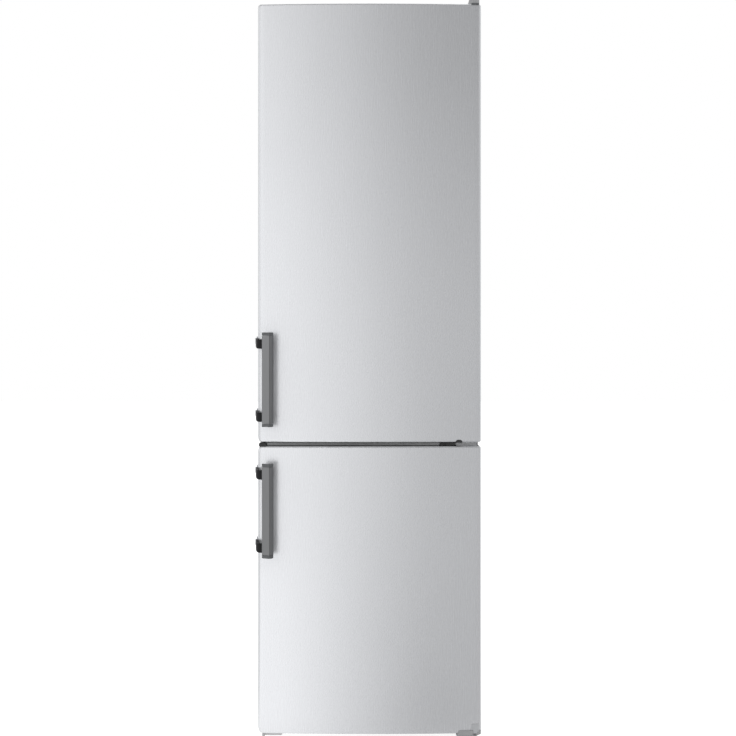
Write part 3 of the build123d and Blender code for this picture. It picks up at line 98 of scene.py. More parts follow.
class Finish(Nodes):
    """A procedural material: one shader whose colour, roughness and relief vary over the surface."""

    def __init__(self, colour, roughness, sockets=None):
        self.material = bpy.data.materials.new("finish")
        super().__init__(self.material)
        self.shader = self.tree.nodes["Principled BSDF"]
        self.place = self.add("ShaderNodeTexCoord").outputs["Object"]
        self.colour = (*colour, 1.0)
        self.roughness = roughness
        self.shade("Base Color", self.colour)
        self.shade("Roughness", roughness)
        for socket, value in (sockets or {}).items():
            self.shade(socket, value)

    def shade(self, socket, value):
        self.put(value, self.shader.inputs[socket])

    def scaled(self, scale):
        """The object's own coordinates in metres, times a scale for each axis."""
        return self.add("ShaderNodeMapping", {"Scale": scale, "Vector": self.place}).outputs["Vector"]

    def noise(self, x, y, z, detail=2.0):
        """Soft noise from 0 to 1, with so many features to the metre along each axis."""
        place = self.scaled((x, y, z))
        noise = self.add("ShaderNodeTexNoise", {"Scale": 1.0, "Detail": detail, "Vector": place})
        spread = {"Value": noise.outputs["Fac"], "From Min": NOISE_LOW, "From Max": NOISE_HIGH}
        return self.add("ShaderNodeMapRange", spread).outputs["Result"]

    def cells(self, scale, output="Distance"):
        """Irregular cells, so many to the metre."""
        place = self.scaled((scale, scale, scale))
        return self.add("ShaderNodeTexVoronoi", {"Scale": 1.0, "Vector": place}).outputs[output]

    def bands(self, scale, axis):
        """Even waves along one axis, so many to the metre."""
        sockets = {"Scale": WAVE_SCALE * scale, "Vector": self.place}
        return self.add("ShaderNodeTexWave", sockets, bands_direction=axis).outputs["Fac"]

    def blended(self, value, low, high):
        """A number that runs from low to high with the value."""
        sockets = {"Value": value, "To Min": low, "To Max": high}
        return self.add("ShaderNodeMapRange", sockets).outputs["Result"]

    def recolour(self, share, colour, **settings):
        """Mixes another colour into the one so far, by a share."""
        sockets = {"Factor": share, "A": self.colour, "B": colour}
        mix = self.add("ShaderNodeMix", sockets, data_type="RGBA", **settings)
        self.colour = mix.outputs["Result"]
        self.shade("Base Color", self.colour)

    def tint(self, value, amount):
        """Darkens and lightens the colour by a share of itself."""
        self.recolour(1.0, self.blended(value, 1.0 - amount, 1.0 + amount), blend_type="MULTIPLY")

    def roughen(self, value, less, more):
        """Roughness that varies about its plain value."""
        self.shade("Roughness", self.blended(value, self.roughness - less, self.roughness + more))

    def bump(self, value, depth):
        """Relief with the given depth in micrometres."""
        relief = self.add("ShaderNodeBump", {"Strength": 1.0, "Distance": depth * MICRON, "Height": value})
        self.shade("Normal", relief.outputs["Normal"])


def brushed(colour, roughness, grain, streak, metallic=1.0, strength=1.0):
    """Metal with fine upright brushing: so many grain lines, and breaks along them, to the metre."""
    finish = Finish(colour, roughness, {"Metallic": metallic})
    lines = finish.noise(grain, grain, streak, detail=3.0)
    finish.tint(lines, 0.05 * strength)
    finish.tint(finish.noise(5, 5, 2, detail=4.0), 0.015)
    finish.roughen(lines, 0.04 * strength, 0.04 * strength)
    finish.bump(lines, 4 * strength)
    return finish


def coated(colour, roughness, peel=10, metallic=0.0):
    """Painted sheet with a faint orange peel, slow clouds and fine specks."""
    finish = Finish(colour, roughness, {"Metallic": metallic})
    clouds = finish.noise(7, 7, 4, detail=4.0)
    finish.tint(clouds, 0.02)
    finish.tint(finish.noise(1800, 1800, 1800), 0.03)
    finish.roughen(clouds, 0.03, 0.03)
    finish.bump(finish.noise(260, 260, 260, detail=1.0), peel)
    return finish


def moulded(colour, roughness, grain=1400, depth=10, metallic=0.0, gloss=0.5):
    """Moulded plastic with a fine spark grain and slow flow marks."""
    finish = Finish(colour, roughness, {"Metallic": metallic, "Specular IOR Level": gloss})
    fine = finish.noise(grain, grain, grain)
    flow = finish.noise(14, 14, 9, detail=3.0)
    finish.tint(flow, 0.025)
    finish.tint(fine, 0.03)
    finish.roughen(flow, 0.03, 0.04)
    finish.bump(fine, depth)
    return finish


def rubber(colour, roughness):
    """Rubber: a coarser moulding with less gloss."""
    return moulded(colour, roughness, grain=900, depth=20, gloss=0.3)


def galvanised(colour, roughness):
    """Zinc coated sheet with its crystal spangle."""
    finish = Finish(colour, roughness, {"Metallic": 0.9})
    spangle = finish.cells(70, output="Color")
    finish.tint(spangle, 0.10)
    finish.tint(finish.noise(30, 30, 30, detail=4.0), 0.05)
    finish.roughen(spangle, 0.08, 0.10)
    return finish


def see_through(colour, roughness, transmission, ior=1.49):
    """Clear or frosted moulding and glass, with the slight waves of its surface."""
    finish = Finish(colour, roughness, {"Transmission Weight": transmission, "IOR": ior})
    waves = finish.noise(22, 22, 22)
    finish.tint(waves, 0.02)
    finish.roughen(waves, 0.03, 0.05)
    finish.bump(waves, 40)
    return finish


def copper():
    """Copper tube with dull brown tarnish in patches."""
    finish = Finish((0.66, 0.33, 0.19), 0.3, {"Metallic": 1.0})
    tarnish = finish.noise(60, 60, 25, detail=5.0)
    finish.recolour(finish.blended(tarnish, 0.0, 0.6), (0.27, 0.13, 0.08, 1.0))
    finish.roughen(tarnish, 0.08, 0.2)
    return finish


def foam():
    """Yellowish insulation foam with open pores."""
    finish = Finish((0.80, 0.69, 0.45), 0.85)
    pores = finish.cells(500)
    finish.tint(pores, 0.2)
    finish.bump(pores, 400)
    return finish


def milky_lens():
    """A milky, ridged lamp lens that is lit from within."""
    glow = {"Emission Color": (1.0, 0.97, 0.9, 1.0), "Emission Strength": 4.0}
    finish = Finish((0.92, 0.92, 0.88), 0.3, {"Transmission Weight": 0.35, **glow})
    ridges = finish.bands(250, "X")
    finish.tint(ridges, 0.06)
    finish.bump(ridges, 400)
    return finish


# The finish of each material slot: the number after its colour is its roughness.
FINISHES = {
    "door_steel": brushed((0.742, 0.752, 0.775), 0.27, grain=2600, streak=16, metallic=0.5, strength=0.16),
    "cabinet_paint": coated((0.44, 0.445, 0.455), 0.42, metallic=0.35),
    "zinc_steel": galvanised((0.52, 0.53, 0.54), 0.45),
    "bracket_steel": coated((0.45, 0.455, 0.46), 0.42, metallic=0.5),
    "screw_steel": brushed((0.56, 0.56, 0.55), 0.28, grain=1800, streak=1800),
    "handle_aluminium": brushed((0.22, 0.223, 0.228), 0.33, grain=3000, streak=14, metallic=0.9),
    "handle_plastic": moulded((0.009, 0.009, 0.01), 0.5, gloss=0.2),
    "inner_plastic": moulded((0.80, 0.815, 0.83), 0.32, grain=500, depth=6),
    "cap_plastic": moulded((0.42, 0.425, 0.43), 0.48),
    "clear_plastic": see_through((0.92, 0.95, 0.97), 0.08, transmission=0.92),
    "drawer_plastic": see_through((0.86, 0.90, 0.94), 0.34, transmission=0.75),
    "shelf_glass": see_through((0.86, 0.96, 0.92), 0.03, transmission=1.0, ior=1.52),
    "trim_plastic": moulded((0.60, 0.61, 0.63), 0.34, metallic=0.3),
    "panel_plastic": moulded((0.66, 0.67, 0.69), 0.38),
    "button_plastic": moulded((0.12, 0.125, 0.13), 0.4),
    "lamp_plastic": milky_lens(),
    "gasket_rubber": rubber((0.46, 0.465, 0.47), 0.55),
    "foam": foam(),
    "compressor_paint": coated((0.012, 0.012, 0.013), 0.28, peel=30),
    "black_rubber": rubber((0.015, 0.015, 0.015), 0.75),
    "condenser_paint": coated((0.014, 0.014, 0.015), 0.36),
    "black_plastic": moulded((0.02, 0.02, 0.021), 0.5),
    "copper": copper(),
    "fin_aluminium": brushed((0.62, 0.63, 0.64), 0.35, grain=700, streak=90),
    "foot_plastic": moulded((0.03, 0.03, 0.032), 0.5),
}

for slot, finish in FINISHES.items():
    finish.material.name = slot
for name, node in frame["nodes"].items():
    node.material_slots[0].material = FINISHES[SLOT_OF[name]].material


# ======== shapes ========

# How an outline's two coordinates and a place along the axis that it is extruded on make a point.
ACROSS = {
    "X": lambda a, b, along: (along, a, b),
    "Y": lambda a, b, along: (a, along, b),
    "Z": lambda a, b, along: (a, b, along),
}


def rounded(a, b, radius, steps=5):
    """A rounded rectangle's outline between two limits on each of its axes."""
    low_a, high_a = a[0] + radius, a[1] - radius
    low_b, high_b = b[0] + radius, b[1] - radius
    centres = ((high_a, high_b), (low_a, high_b), (low_a, low_b), (high_a, low_b))
    points = []
    for quarter, (centre_a, centre_b) in enumerate(centres):
        for k in range(steps + 1):
            angle = math.pi / 2 * (quarter + k / steps)
            points.append((centre_a + radius * math.cos(angle), centre_b + radius * math.sin(angle)))
    return points


def about(middle, half):
    """Limits at equal distances from a middle."""
    return (middle - half, middle + half)


def smooth(value, low, high):
    """0 up to low, 1 from high on, and an even curve between them."""
    share = min(max((value - low) / (high - low), 0.0), 1.0)
    return share * share * (3 - 2 * share)


class Shape:
    """A piece of the scene while it is built up."""

    def __init__(self):
        self.mesh = bmesh.new()

    def faces_between(self, rings, closed=True):
        """Skins a list of point rings, and returns the rings as vertices."""
        made = [[self.mesh.verts.new(point) for point in ring] for ring in rings]
        count = len(made[0])
        for low, high in zip(made, made[1:]):
            for k in range(count if closed else count - 1):
                after = (k + 1) % count
                self.mesh.faces.new((low[k], low[after], high[after], high[k]))
        return made

    def solid(self, rings):
        """A closed body skinned over rings of points."""
        made = self.faces_between(rings)
        self.mesh.faces.new(list(reversed(made[0])))
        self.mesh.faces.new(made[-1])
        return made

    def round_off(self, edges, amount, steps=2):
        bmesh.ops.bevel(
            self.mesh, geom=list(edges), offset=amount, segments=steps, affect="EDGES", clamp_overlap=True
        )

    def block(self, x, y, z, edge, steps=2):
        """A block between two limits on each axis, with rounded edges."""
        corners = ((x[0], y[0]), (x[1], y[0]), (x[1], y[1]), (x[0], y[1]))
        made = self.solid([[(*corner, height) for corner in corners] for height in z])
        self.round_off({e for ring in made for v in ring for e in v.link_edges}, edge, steps)

    def slab(self, outline, axis, ends, edge=0.0):
        """An outline extruded along an axis between two ends, with rounded rims."""
        made = self.solid([[ACROSS[axis](a, b, end) for a, b in outline] for end in ends])
        if edge:
            rims = {e for ring in made for v in ring for e in v.link_edges if e.other_vert(v) in ring}
            self.round_off(rims, edge)

    def turned(self, start, end, profile, sides=28):
        """A round body that starts towards an end: pairs of a distance on the way and the radius there."""
        axis = Vector(end) - Vector(start)
        place = Matrix.Translation(start) @ axis.to_track_quat("Z", "Y").to_matrix().to_4x4()
        turns = [2 * math.pi * k / sides for k in range(sides)]
        rings = []
        for along, radius in profile:
            rings.append([place @ Vector((radius * math.cos(a), radius * math.sin(a), along)) for a in turns])
        self.solid(rings)

    def head(self, base, top, radius, slope, inset, sides=28):
        """A round head or plug, whose rim slopes over its last stretch and comes in by an inset."""
        height = math.dist(base, top)
        self.turned(base, top, [(0, radius), (height - slope, radius), (height, radius - inset)], sides)

    def rod(self, start, end, radius, edge, sides=28):
        """A round rod with chamfered ends."""
        length = math.dist(start, end)
        profile = [(0, radius - edge), (edge, radius), (length - edge, radius), (length, radius - edge)]
        self.turned(start, end, profile, sides)

    def strap(self, origin, stations, edge):
        """A moulded arm on a path seen from above.

        A station gives x and y from the origin, the thickness, and the lower and upper side from the origin.
        """
        path = [(origin[0] + station[0], origin[1] + station[1]) for station in stations]
        rings = []
        for k, (x, y) in enumerate(path):
            thickness, low, high = stations[k][2:]
            before, after = path[max(k - 1, 0)], path[min(k + 1, len(path) - 1)]
            along = Vector((after[0] - before[0], after[1] - before[1])).normalized()
            section = rounded(about(0, thickness / 2), (origin[2] + low, origin[2] + high), edge, 4)
            rings.append([(x - along.y * a, y + along.x * a, z) for a, z in section])
        self.solid(rings)

    def piece(self, name, body, slot, *replaced, sharp=35):
        """Ends the building: an object with the slot's finish that rides on a body and may replace nodes."""
        bmesh.ops.recalc_face_normals(self.mesh, faces=self.mesh.faces)
        bmesh.ops.scale(self.mesh, vec=(MM, MM, MM), verts=self.mesh.verts)
        data = bpy.data.meshes.new(name)
        self.mesh.to_mesh(data)
        self.mesh.free()
        data.shade_smooth()
        data.set_sharp_from_angle(angle=math.radians(sharp))
        data.materials.append(FINISHES[slot].material)
        made = bpy.data.objects.new(name, data)
        bpy.context.scene.collection.objects.link(made)
        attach(made, body)
        if replaced:
            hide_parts(*replaced)


# ======== doors ========

DOORS = {name: limits(f"{name}_skin")[2] for name in ("fridge_door", "freezer_door")}
DOOR_X, DOOR_Y = limits("freezer_door_skin")[:2]
HALF_DOOR = DOOR_X[1]
Y_CROWN, Y_DOOR_BACK = DOOR_Y
CAP_RECESS = limits("freezer_door_caps")[2][0] - DOORS["freezer_door"][0]
CAP_DEPTH = 13.0
CAP_CLEARANCE = 0.2
BOW = 9.0  # how far the middle of the front stands before its upright edges
BOW_STEPS = 24
EDGE_RADIUS = 8.0
EDGE_STEPS = 8
SKIN_RETURN = 12.0  # width of the skin's fold on the door's back
ROLL = 4.5  # radius of the skin's folded edges, in front
ROLL_STEPS = 7
BACK_ROLL = 1.5
SKIN_LIP = 0.5  # how far the folded edges reach into the plastic ends
BOW_RADIUS = (HALF_DOOR**2 + BOW**2) / (2 * BOW)
BOW_CENTRE = (0.0, Y_CROWN + BOW_RADIUS)
CORNER_X = HALF_DOOR - EDGE_RADIUS
EDGE_CENTRE = (CORNER_X, BOW_CENTRE[1] - math.sqrt((BOW_RADIUS - EDGE_RADIUS) ** 2 - CORNER_X**2))
BOW_ANGLE = math.asin(CORNER_X / (BOW_RADIUS - EDGE_RADIUS))
PULLED = (CORNER_X - 16, HALF_DOOR - 3)  # between these places a drawn-in corner takes hold

# How far each end's left and right corner is drawn in, and how high over the end it starts.
CORNERS = {
    "fridge_door": {"bottom": ((7, 16), (2, 4)), "top": ((4, 9), (2, 4))},
    "freezer_door": {"bottom": ((8, 22), (5, 12)), "top": ((7, 16), (2, 4))},
}
CORNER_HEIGHTS = (6, 8.5, 12, 16, 22)  # sections over the roll that follow the corners


def front_at(x):
    """Depth of the bowed front, for a place on the door's width."""
    return BOW_CENTRE[1] - math.sqrt(BOW_RADIUS**2 - x**2)


def door_profile():
    """Half of the door's section from above, from its middle to its back, with the way out at each point."""
    bow = [BOW_ANGLE * k / BOW_STEPS for k in range(BOW_STEPS + 1)]
    edge = [BOW_ANGLE + (math.pi / 2 - BOW_ANGLE) * k / EDGE_STEPS for k in range(1, EDGE_STEPS + 1)]
    points = []
    for (x, y), radius, angles in ((BOW_CENTRE, BOW_RADIUS, bow), (EDGE_CENTRE, EDGE_RADIUS, edge)):
        for angle in angles:
            out = (math.sin(angle), -math.cos(angle))
            points.append(((x + radius * out[0], y + radius * out[1]), out))
    points.append(((HALF_DOOR, Y_DOOR_BACK), (1, 1)))
    points.append(((HALF_DOOR - SKIN_RETURN, Y_DOOR_BACK), (0, 1)))
    return points


def door_ring(z, inset, pull_left, pull_right):
    """The door's section at a height, drawn in by an inset, and pulled in at its two upright edges."""
    half = door_profile()
    fold_end = half[-1][0]
    back_inset = min(inset, BACK_ROLL)
    ring = []
    for side, pull, profile in ((-1, pull_left, reversed(half)), (1, pull_right, half[1:])):
        for (x, y), (out_x, out_y) in profile:
            weight = 0.0 if (x, y) == fold_end else smooth(x, *PULLED)
            depth_inset = back_inset if y == Y_DOOR_BACK else inset
            ring.append((side * (x - out_x * back_inset - pull * weight), y - out_y * depth_inset, z))
    return ring


def drawn_in(height, reach, rise):
    """How far an elliptic corner has come in at a height over its end."""
    if height >= rise:
        return 0.0
    return reach * (1 - math.sqrt(1 - ((rise - height) / rise) ** 2))


def end_rings(name, end, sections):
    """Door sections over one of its ends, from pairs of a height and an inset, with that end's corners."""
    bottom, top = DOORS[name]
    left, right = CORNERS[name][end]
    rings = []
    for height, inset in sections:
        z = bottom + height if end == "bottom" else top - height
        rings.append(door_ring(z, inset, drawn_in(height, *left), drawn_in(height, *right)))
    return rings


def door_shell(name):
    """The skin of steel sheet, with its edges rolled over the plastic ends."""
    sections = [(CAP_RECESS + SKIN_LIP, ROLL)]
    for k in range(ROLL_STEPS + 1):
        angle = math.pi / 2 * k / ROLL_STEPS
        sections.append((ROLL * (1 - math.cos(angle)), ROLL * (1 - math.sin(angle))))
    sections += [(height, 0.0) for height in CORNER_HEIGHTS]
    rings = end_rings(name, "bottom", sections) + end_rings(name, "top", sections)[::-1]
    shell = Shape()
    shell.faces_between(rings, closed=False)
    shell.piece(f"{name}_shell", name, "door_steel", f"{name}_skin", sharp=50)


def door_ends(name):
    """The plastic ends inside the skin."""
    ends = Shape()
    for end in ("bottom", "top"):
        inset = ROLL - CAP_CLEARANCE
        ends.solid(end_rings(name, end, [(CAP_RECESS, inset), (CAP_DEPTH, inset)]))
    ends.piece(f"{name}_ends", name, "cap_plastic", f"{name}_caps")


HINGE_X, HINGE_Y = AXES["fridge_door_hinge"][:2]
BUSH = (12, 0.25)  # radius, and how proud of the end
PLUG = (8, 0.6)
PLUG_FLANGE = (11, 0.3)
BOSS = (5, 0.4)
BOSS_PLACES = [(x, -262) for x in (-200, -60, 60, 200)]
DISC_ROOT = 2.0  # how deep the discs start in the end
DISC_RIM = 0.4
RIB_HALF_LENGTH = 35
RIB_PLACES = [(x, y) for x in (-150, 0, 150) for y in (-282.5, -248.5)]
RIB_WIDTH = 3


def end_details(name):
    """Bushes, blanking plugs, ribs and screw bosses on a door's plastic ends."""
    bottom, top = DOORS[name]
    plugs = Shape()
    bosses = Shape()
    discs = [(bosses, (HINGE_X, HINGE_Y), BUSH)]
    discs += [(plugs, (-HINGE_X, HINGE_Y), PLUG), (plugs, (-HINGE_X, HINGE_Y), PLUG_FLANGE)]
    discs += [(bosses, place, BOSS) for place in BOSS_PLACES]
    for level, up in ((bottom + CAP_RECESS, -1), (top - CAP_RECESS, 1)):
        for shape, place, (radius, proud) in discs:
            base, face = level - up * DISC_ROOT, level + up * proud
            shape.head((*place, base), (*place, face), radius, DISC_RIM, DISC_RIM)
        z = sorted((level - up, level + up * 0.5))
        for x, y in RIB_PLACES:
            bosses.block(about(x, RIB_HALF_LENGTH), about(y, RIB_WIDTH / 2), z, 0.2)
    plugs.piece(f"{name}_plugs", name, "black_plastic")
    bosses.piece(f"{name}_bosses", name, "cap_plastic")


PATCH_STEPS = 8


def front_patch(x, z, proud, thickness=1.2):
    """A thin plate that follows the bowed front at its right and stands proud of it."""
    places = [x[0] + (x[1] - x[0]) * k / PATCH_STEPS for k in range(PATCH_STEPS + 1)]
    outline = [(place, front_at(min(place, CORNER_X)) - proud) for place in places]
    outline += [(place, y + thickness) for place, y in reversed(outline)]
    patch = Shape()
    patch.slab(outline, "Z", z, 0.25)
    return patch


# ======== gap between the doors ========

GAP_LOW, GAP_HIGH = DOORS["freezer_door"][1], DOORS["fridge_door"][0]
GAP_MIDDLE = (GAP_LOW + GAP_HIGH) / 2
STRIP_X = (-276, 188)
STRIP_SECTION = [  # depth, and height over the middle of the gap
    (-281, -4.6),
    (-286, -3.9),
    (-289, 0.0),
    (-286, 3.9),
    (-281, 4.6),
    (-226, 4.6),
    (-226, -4.6),
]
COVER_BACK = -284.4
SPACER_X = (233, 290)
SPACER_Y = (-285, -262)
STOP_X = -287
STOP_Y = -279
# The black tab on the upper door's lower edge is painted shade: it stands for the dark of a notch in that edge.
NOTCH_SHADE_X = 240.0
NOTCH_SHADE_SIZE = (9, 5.2)  # half of its width, and the height of its round top
NOTCH_SHADE_STEPS = 12


def rail_strip():
    """The strip on the centre rail that closes the gap."""
    strip = Shape()
    strip.slab([(y, GAP_MIDDLE + height) for y, height in STRIP_SECTION], "X", STRIP_X)
    strip.piece("rail_strip", "cabinet", "cap_plastic")


def bracket_cover():
    """The black cover on the left end of the middle hinge bracket, with a lower tip."""
    cover = Shape()
    for x, front, half_height, edge in (((204, 230), -293, 4.3, 1.5), ((190, 204.5), -290, 3.9, 1.0)):
        cover.block(x, (front, COVER_BACK), about(GAP_MIDDLE, half_height), edge)
    cover.piece("middle_bracket_cover", "cabinet", "black_plastic")


def bracket_spacers():
    """Spacers under and over the middle hinge bracket's plate."""
    spacers = Shape()
    for z in ((GAP_LOW + 0.6, GAP_LOW + 3.4), (GAP_HIGH - 3.4, GAP_HIGH - 0.7)):
        spacers.block(SPACER_X, SPACER_Y, z, 0.6)
    spacers.piece("middle_bracket_spacers", "cabinet", "trim_plastic")


def door_stop():
    """The black block on the lower door's top left corner, with a pad on it."""
    stop = Shape()
    for half_x, half_y, z, edge in (
        (10, 17, (GAP_LOW - 1, GAP_LOW + 8.5), 1.2),
        (6, 13, (GAP_LOW + 8, GAP_LOW + 9.8), 0.6),
    ):
        stop.block(about(STOP_X, half_x), about(STOP_Y, half_y), z, edge)
    stop.piece("freezer_door_stop", "freezer_door", "black_plastic")


def door_notch_shade():
    """A black half-round tab on the upper door's lower edge: painted shade of the notch there."""
    half_width, rise = NOTCH_SHADE_SIZE
    outline = []
    for k in range(NOTCH_SHADE_STEPS + 1):
        angle = math.pi * k / NOTCH_SHADE_STEPS
        outline.append((NOTCH_SHADE_X + half_width * math.cos(angle), GAP_HIGH + 1.5 + rise * math.sin(angle)))
    outline += [(NOTCH_SHADE_X + side * half_width, GAP_HIGH - 1.4) for side in (-1, 1)]
    front = front_at(NOTCH_SHADE_X)
    notch_shade = Shape()
    notch_shade.slab(outline, "Y", (front - 1, front + 6), 0.5)
    notch_shade.piece("fridge_door_notch_shade", "fridge_door", "black_plastic")


# ======== corners above and below the doors ========

DOOR_TOP = DOORS["fridge_door"][1]
DOOR_BOTTOM = DOORS["freezer_door"][0]
CORNER_CAP_RIGHT = 293
BUSH_HOUSING = [(233, -5), (278, -5), (278, 9.5), (240, 9.5)]  # place, and height over the door's lower edge
CORNER_TIP = [(288, -5), (298.5, -1), (299, 9), (294, 7), (286, -1)]


def top_shade_line():
    """A dark plate over the upper door's right corner, under the hinge cover: painted shade along the joint of
    cover and door.
    """
    # Its dark plastic is painted shade under the edge of the hinge cover.
    shade_line = front_patch((274, 294), (DOOR_TOP - 2.8, DOOR_TOP + 2.6), 0.6, thickness=8)
    shade_line.piece("fridge_door_top_shade_line", "fridge_door", "button_plastic")


def corner_cap():
    """The cap on the lower door's right corner, and a darker strip round it: painted shade in the joint's groove.
    """
    # The darker strip round the cap is painted shade of the groove at its edge.
    groove_shade = front_patch((274.6, CORNER_CAP_RIGHT), (DOOR_BOTTOM + 1, DOOR_BOTTOM + 26.4), 0.15)
    groove_shade.piece("freezer_door_corner_groove_shade", "freezer_door", "cap_plastic")
    cap = front_patch((275.6, CORNER_CAP_RIGHT), (DOOR_BOTTOM + 0.6, DOOR_BOTTOM + 25.4), 0.5)
    cap.piece("freezer_door_corner_cap", "freezer_door", "trim_plastic")


def corner_plates():
    """The housing of the lower bush, and the tip beside it."""
    for name, outline, y, edge in (
        ("freezer_door_bush_housing", BUSH_HOUSING, (-301.6, -286), 1.0),
        ("freezer_door_corner_tip", CORNER_TIP, (-298.5, -280), 0.8),
    ):
        plate = Shape()
        plate.slab([(x, DOOR_BOTTOM + height) for x, height in outline], "Y", y, edge)
        plate.piece(name, "freezer_door", "cap_plastic")


def foot_bracket_lip():
    """The folded lip of the left foot's bracket, and the tab before it."""
    x, y, z = limits("left_foot_bracket")
    lip = Shape()
    lip.block((x[0] + 0.5, x[1] - 1), (y[0] - 1.5, y[0] + 0.5), (z[0] + 0.2, z[0] + 8.5), 0.8)
    lip.block((x[0] + 0.5, x[0] + 8), (y[0] - 4, y[0] - 1), (z[0] - 11, z[0] + 7), 1.0)
    lip.piece("left_foot_bracket_lip", "cabinet", "bracket_steel")


# ======== handles ========

HANDLES = {name: limits(f"{name}_handle_arms")[2] for name in ("fridge", "freezer")}
BAR_X, BAR_Y, BAR_Z = limits("fridge_handle_bar")
BAR_HALF_WIDTH = (BAR_X[1] - BAR_X[0]) / 2
BAR_CAP = BAR_Z[0] - HANDLES["fridge"][0]
BAR_SECTION = [  # from the bar's right side and from its front edge, once round
    (-30.4, 15.0),
    (-31.0, 13.0),
    (-30.2, 10.6),
    (-27.4, 8.4),
    (-22.0, 5.8),
    (-16.4, 3.1),
    (-12.2, 0.8),
    (-10.4, 0.0),
    (-8.6, 0.6),
    (-5.6, 3.8),
    (-1.6, 9.0),
    (0.0, 12.0),
    (-0.4, 14.6),
    (-2.0, 16.0),
    (-28.6, 16.0),
]
BAR_OUTLINE = [(BAR_X[1] + x, BAR_Y[0] + y) for x, y in BAR_SECTION]
PIVOT = AXES["fridge_handle_lever"][:2]
ARM_FROM_END = 28.0
ARM_EDGE = 1.4
ARM = [  # x and y from the pivot, thickness, lower and upper side
    (0.6, 5.0, 3.4, 0.0, 14.0),
    (0.8, -1.0, 4.6, -1.0, 14.5),
    (1.4, -9.0, 5.0, -3.0, 14.0),
    (2.4, -18.0, 5.4, -6.0, 13.0),
    (3.6, -27.0, 5.8, -9.5, 12.0),
    (5.4, -34.0, 6.4, -12.5, 11.0),
    (8.4, -39.5, 7.4, -14.5, 10.5),
    (13.0, -43.0, 8.0, -15.0, 10.0),
    (19.0, -44.2, 8.2, -15.0, 10.0),
    (27.0, -44.4, 8.4, -15.0, 10.0),
    (41.0, -44.4, 8.4, -15.0, 10.0),
]
KNUCKLE_Z = (-1, 15)
KNUCKLE_RADIUS = 3.7
MOUNT_X = (-HALF_DOOR - 4.2, -HALF_DOOR)
MOUNT_Y = (-283, -243)
MOUNT_Z = (-5, 19)
MOUNT_CORNER = 4
MOUNT_SCREWS_Y = (-272, -253)


def bar_shrunk(amount):
    """The bar's outline, drawn in by about so much at its sides."""
    centre = [sum(values) / len(BAR_OUTLINE) for values in zip(*BAR_OUTLINE)]
    share = 1 - amount / BAR_HALF_WIDTH
    return [tuple(c + (v - c) * share for v, c in zip(point, centre)) for point in BAR_OUTLINE]


def handle_bar(body, low, high):
    """The aluminium bar, and the dark caps on its ends."""
    bar = Shape()
    bar.slab(BAR_OUTLINE, "Z", (low + BAR_CAP, high - BAR_CAP))
    bar.piece(f"{body}_grip", body, "handle_aluminium", f"{body}_bar", sharp=25)
    caps = Shape()
    for end, inwards in ((low, 1), (high, -1)):
        caps.slab(bar_shrunk(0.25), "Z", sorted((end + inwards * 0.6, end + inwards * (BAR_CAP - 0.6))), 0.4)
        caps.slab(BAR_OUTLINE, "Z", sorted((end + inwards * 0.2, end + inwards * 2.8)), 0.7)
    caps.piece(f"{body}_end_caps", body, "button_plastic", sharp=40)


def handle_arms(body, door, levels):
    """The black arms from the bar round the door's edge, and the bearings that they turn in."""
    arms = Shape()
    knuckles = Shape()
    for level in levels:
        arms.strap((*PIVOT, level), ARM, ARM_EDGE)
        low, high = (level + height for height in KNUCKLE_Z)
        knuckles.rod((*PIVOT, low), (*PIVOT, high), KNUCKLE_RADIUS, 0.8)
    arms.piece(f"{body}_arms_shaped", body, "handle_plastic", f"{body}_arms", sharp=40)
    knuckles.piece(f"{body}_knuckles", door, "trim_plastic")


def handle_mounts(body, door, levels):
    """The mounts on the door's edge, with two screws each."""
    mounts = Shape()
    for level in levels:
        z = [level + height for height in MOUNT_Z]
        mounts.slab(rounded(MOUNT_Y, z, MOUNT_CORNER), "X", MOUNT_X, 1.2)
        for y in MOUNT_SCREWS_Y:
            base = (MOUNT_X[0] + 0.2, y, sum(z) / 2)
            mounts.head(base, (base[0] - 1.2, *base[1:]), 4.2, 0.4, 0.6)
    mounts.piece(f"{body}_mounts_shaped", door, "trim_plastic", f"{body}_mounts")


def handle(name, low, high):
    body, door = f"{name}_handle", f"{name}_door"
    levels = (low + ARM_FROM_END, high - ARM_FROM_END)
    handle_bar(body, low, high)
    handle_arms(body, door, levels)
    handle_mounts(body, door, levels)


# ======== inside the cabinet ========

LINER_WALL = 2.0
FRIDGE_SIDE, FRIDGE_BACK, FRIDGE_CEILING = (ends[1] - LINER_WALL for ends in limits("fridge_liner"))
OFF_WALL = 0.2  # what is fixed to a liner's wall stands this far off it
SHELF_STEP = 195
SHELF_TOPS = [limits("glass_shelves")[2][1] - SHELF_STEP * k for k in (3, 2, 1, 0)]
DUCT_FACE = FRIDGE_BACK - 5
DUCT_HALF_WIDTH = 64
OUTLETS = 5  # near the top of each length of the duct
OUTLET_STEP = 7
OUTLET_HALF_WIDTH = 38
GUTTER = ((150, (868, 872)), (18, (860, 868.5)))  # half width and heights of its channel and of its spout
LEDGE_OVER_SHELF = 97
LEDGE_Y = (-96, 240)
LEDGE_STOP_Y = (-100, -92)
SENSOR_Y = (60, 112)
SENSOR_Z = (1400, 1450)
SENSOR_SLOTS = 6
PANEL_LAMPS = 5
PANEL_LAMP_STEP = 12
CRISPER_RIBS = 36  # from rib to rib
DRAWER_RIBS = 52
GRIP_LIP = 8  # how far the drawers' lips stand in front of their walls
LOUVRE_FIELDS = ((330, 9), (552, 4))  # lowest louvre, and how many there are
LOUVRE_STEP = 13
LOUVRE_HALF_WIDTH = 95
COVER_SCREWS = [(x, z) for x in (-212, 212) for z in (345, 520, 742)]


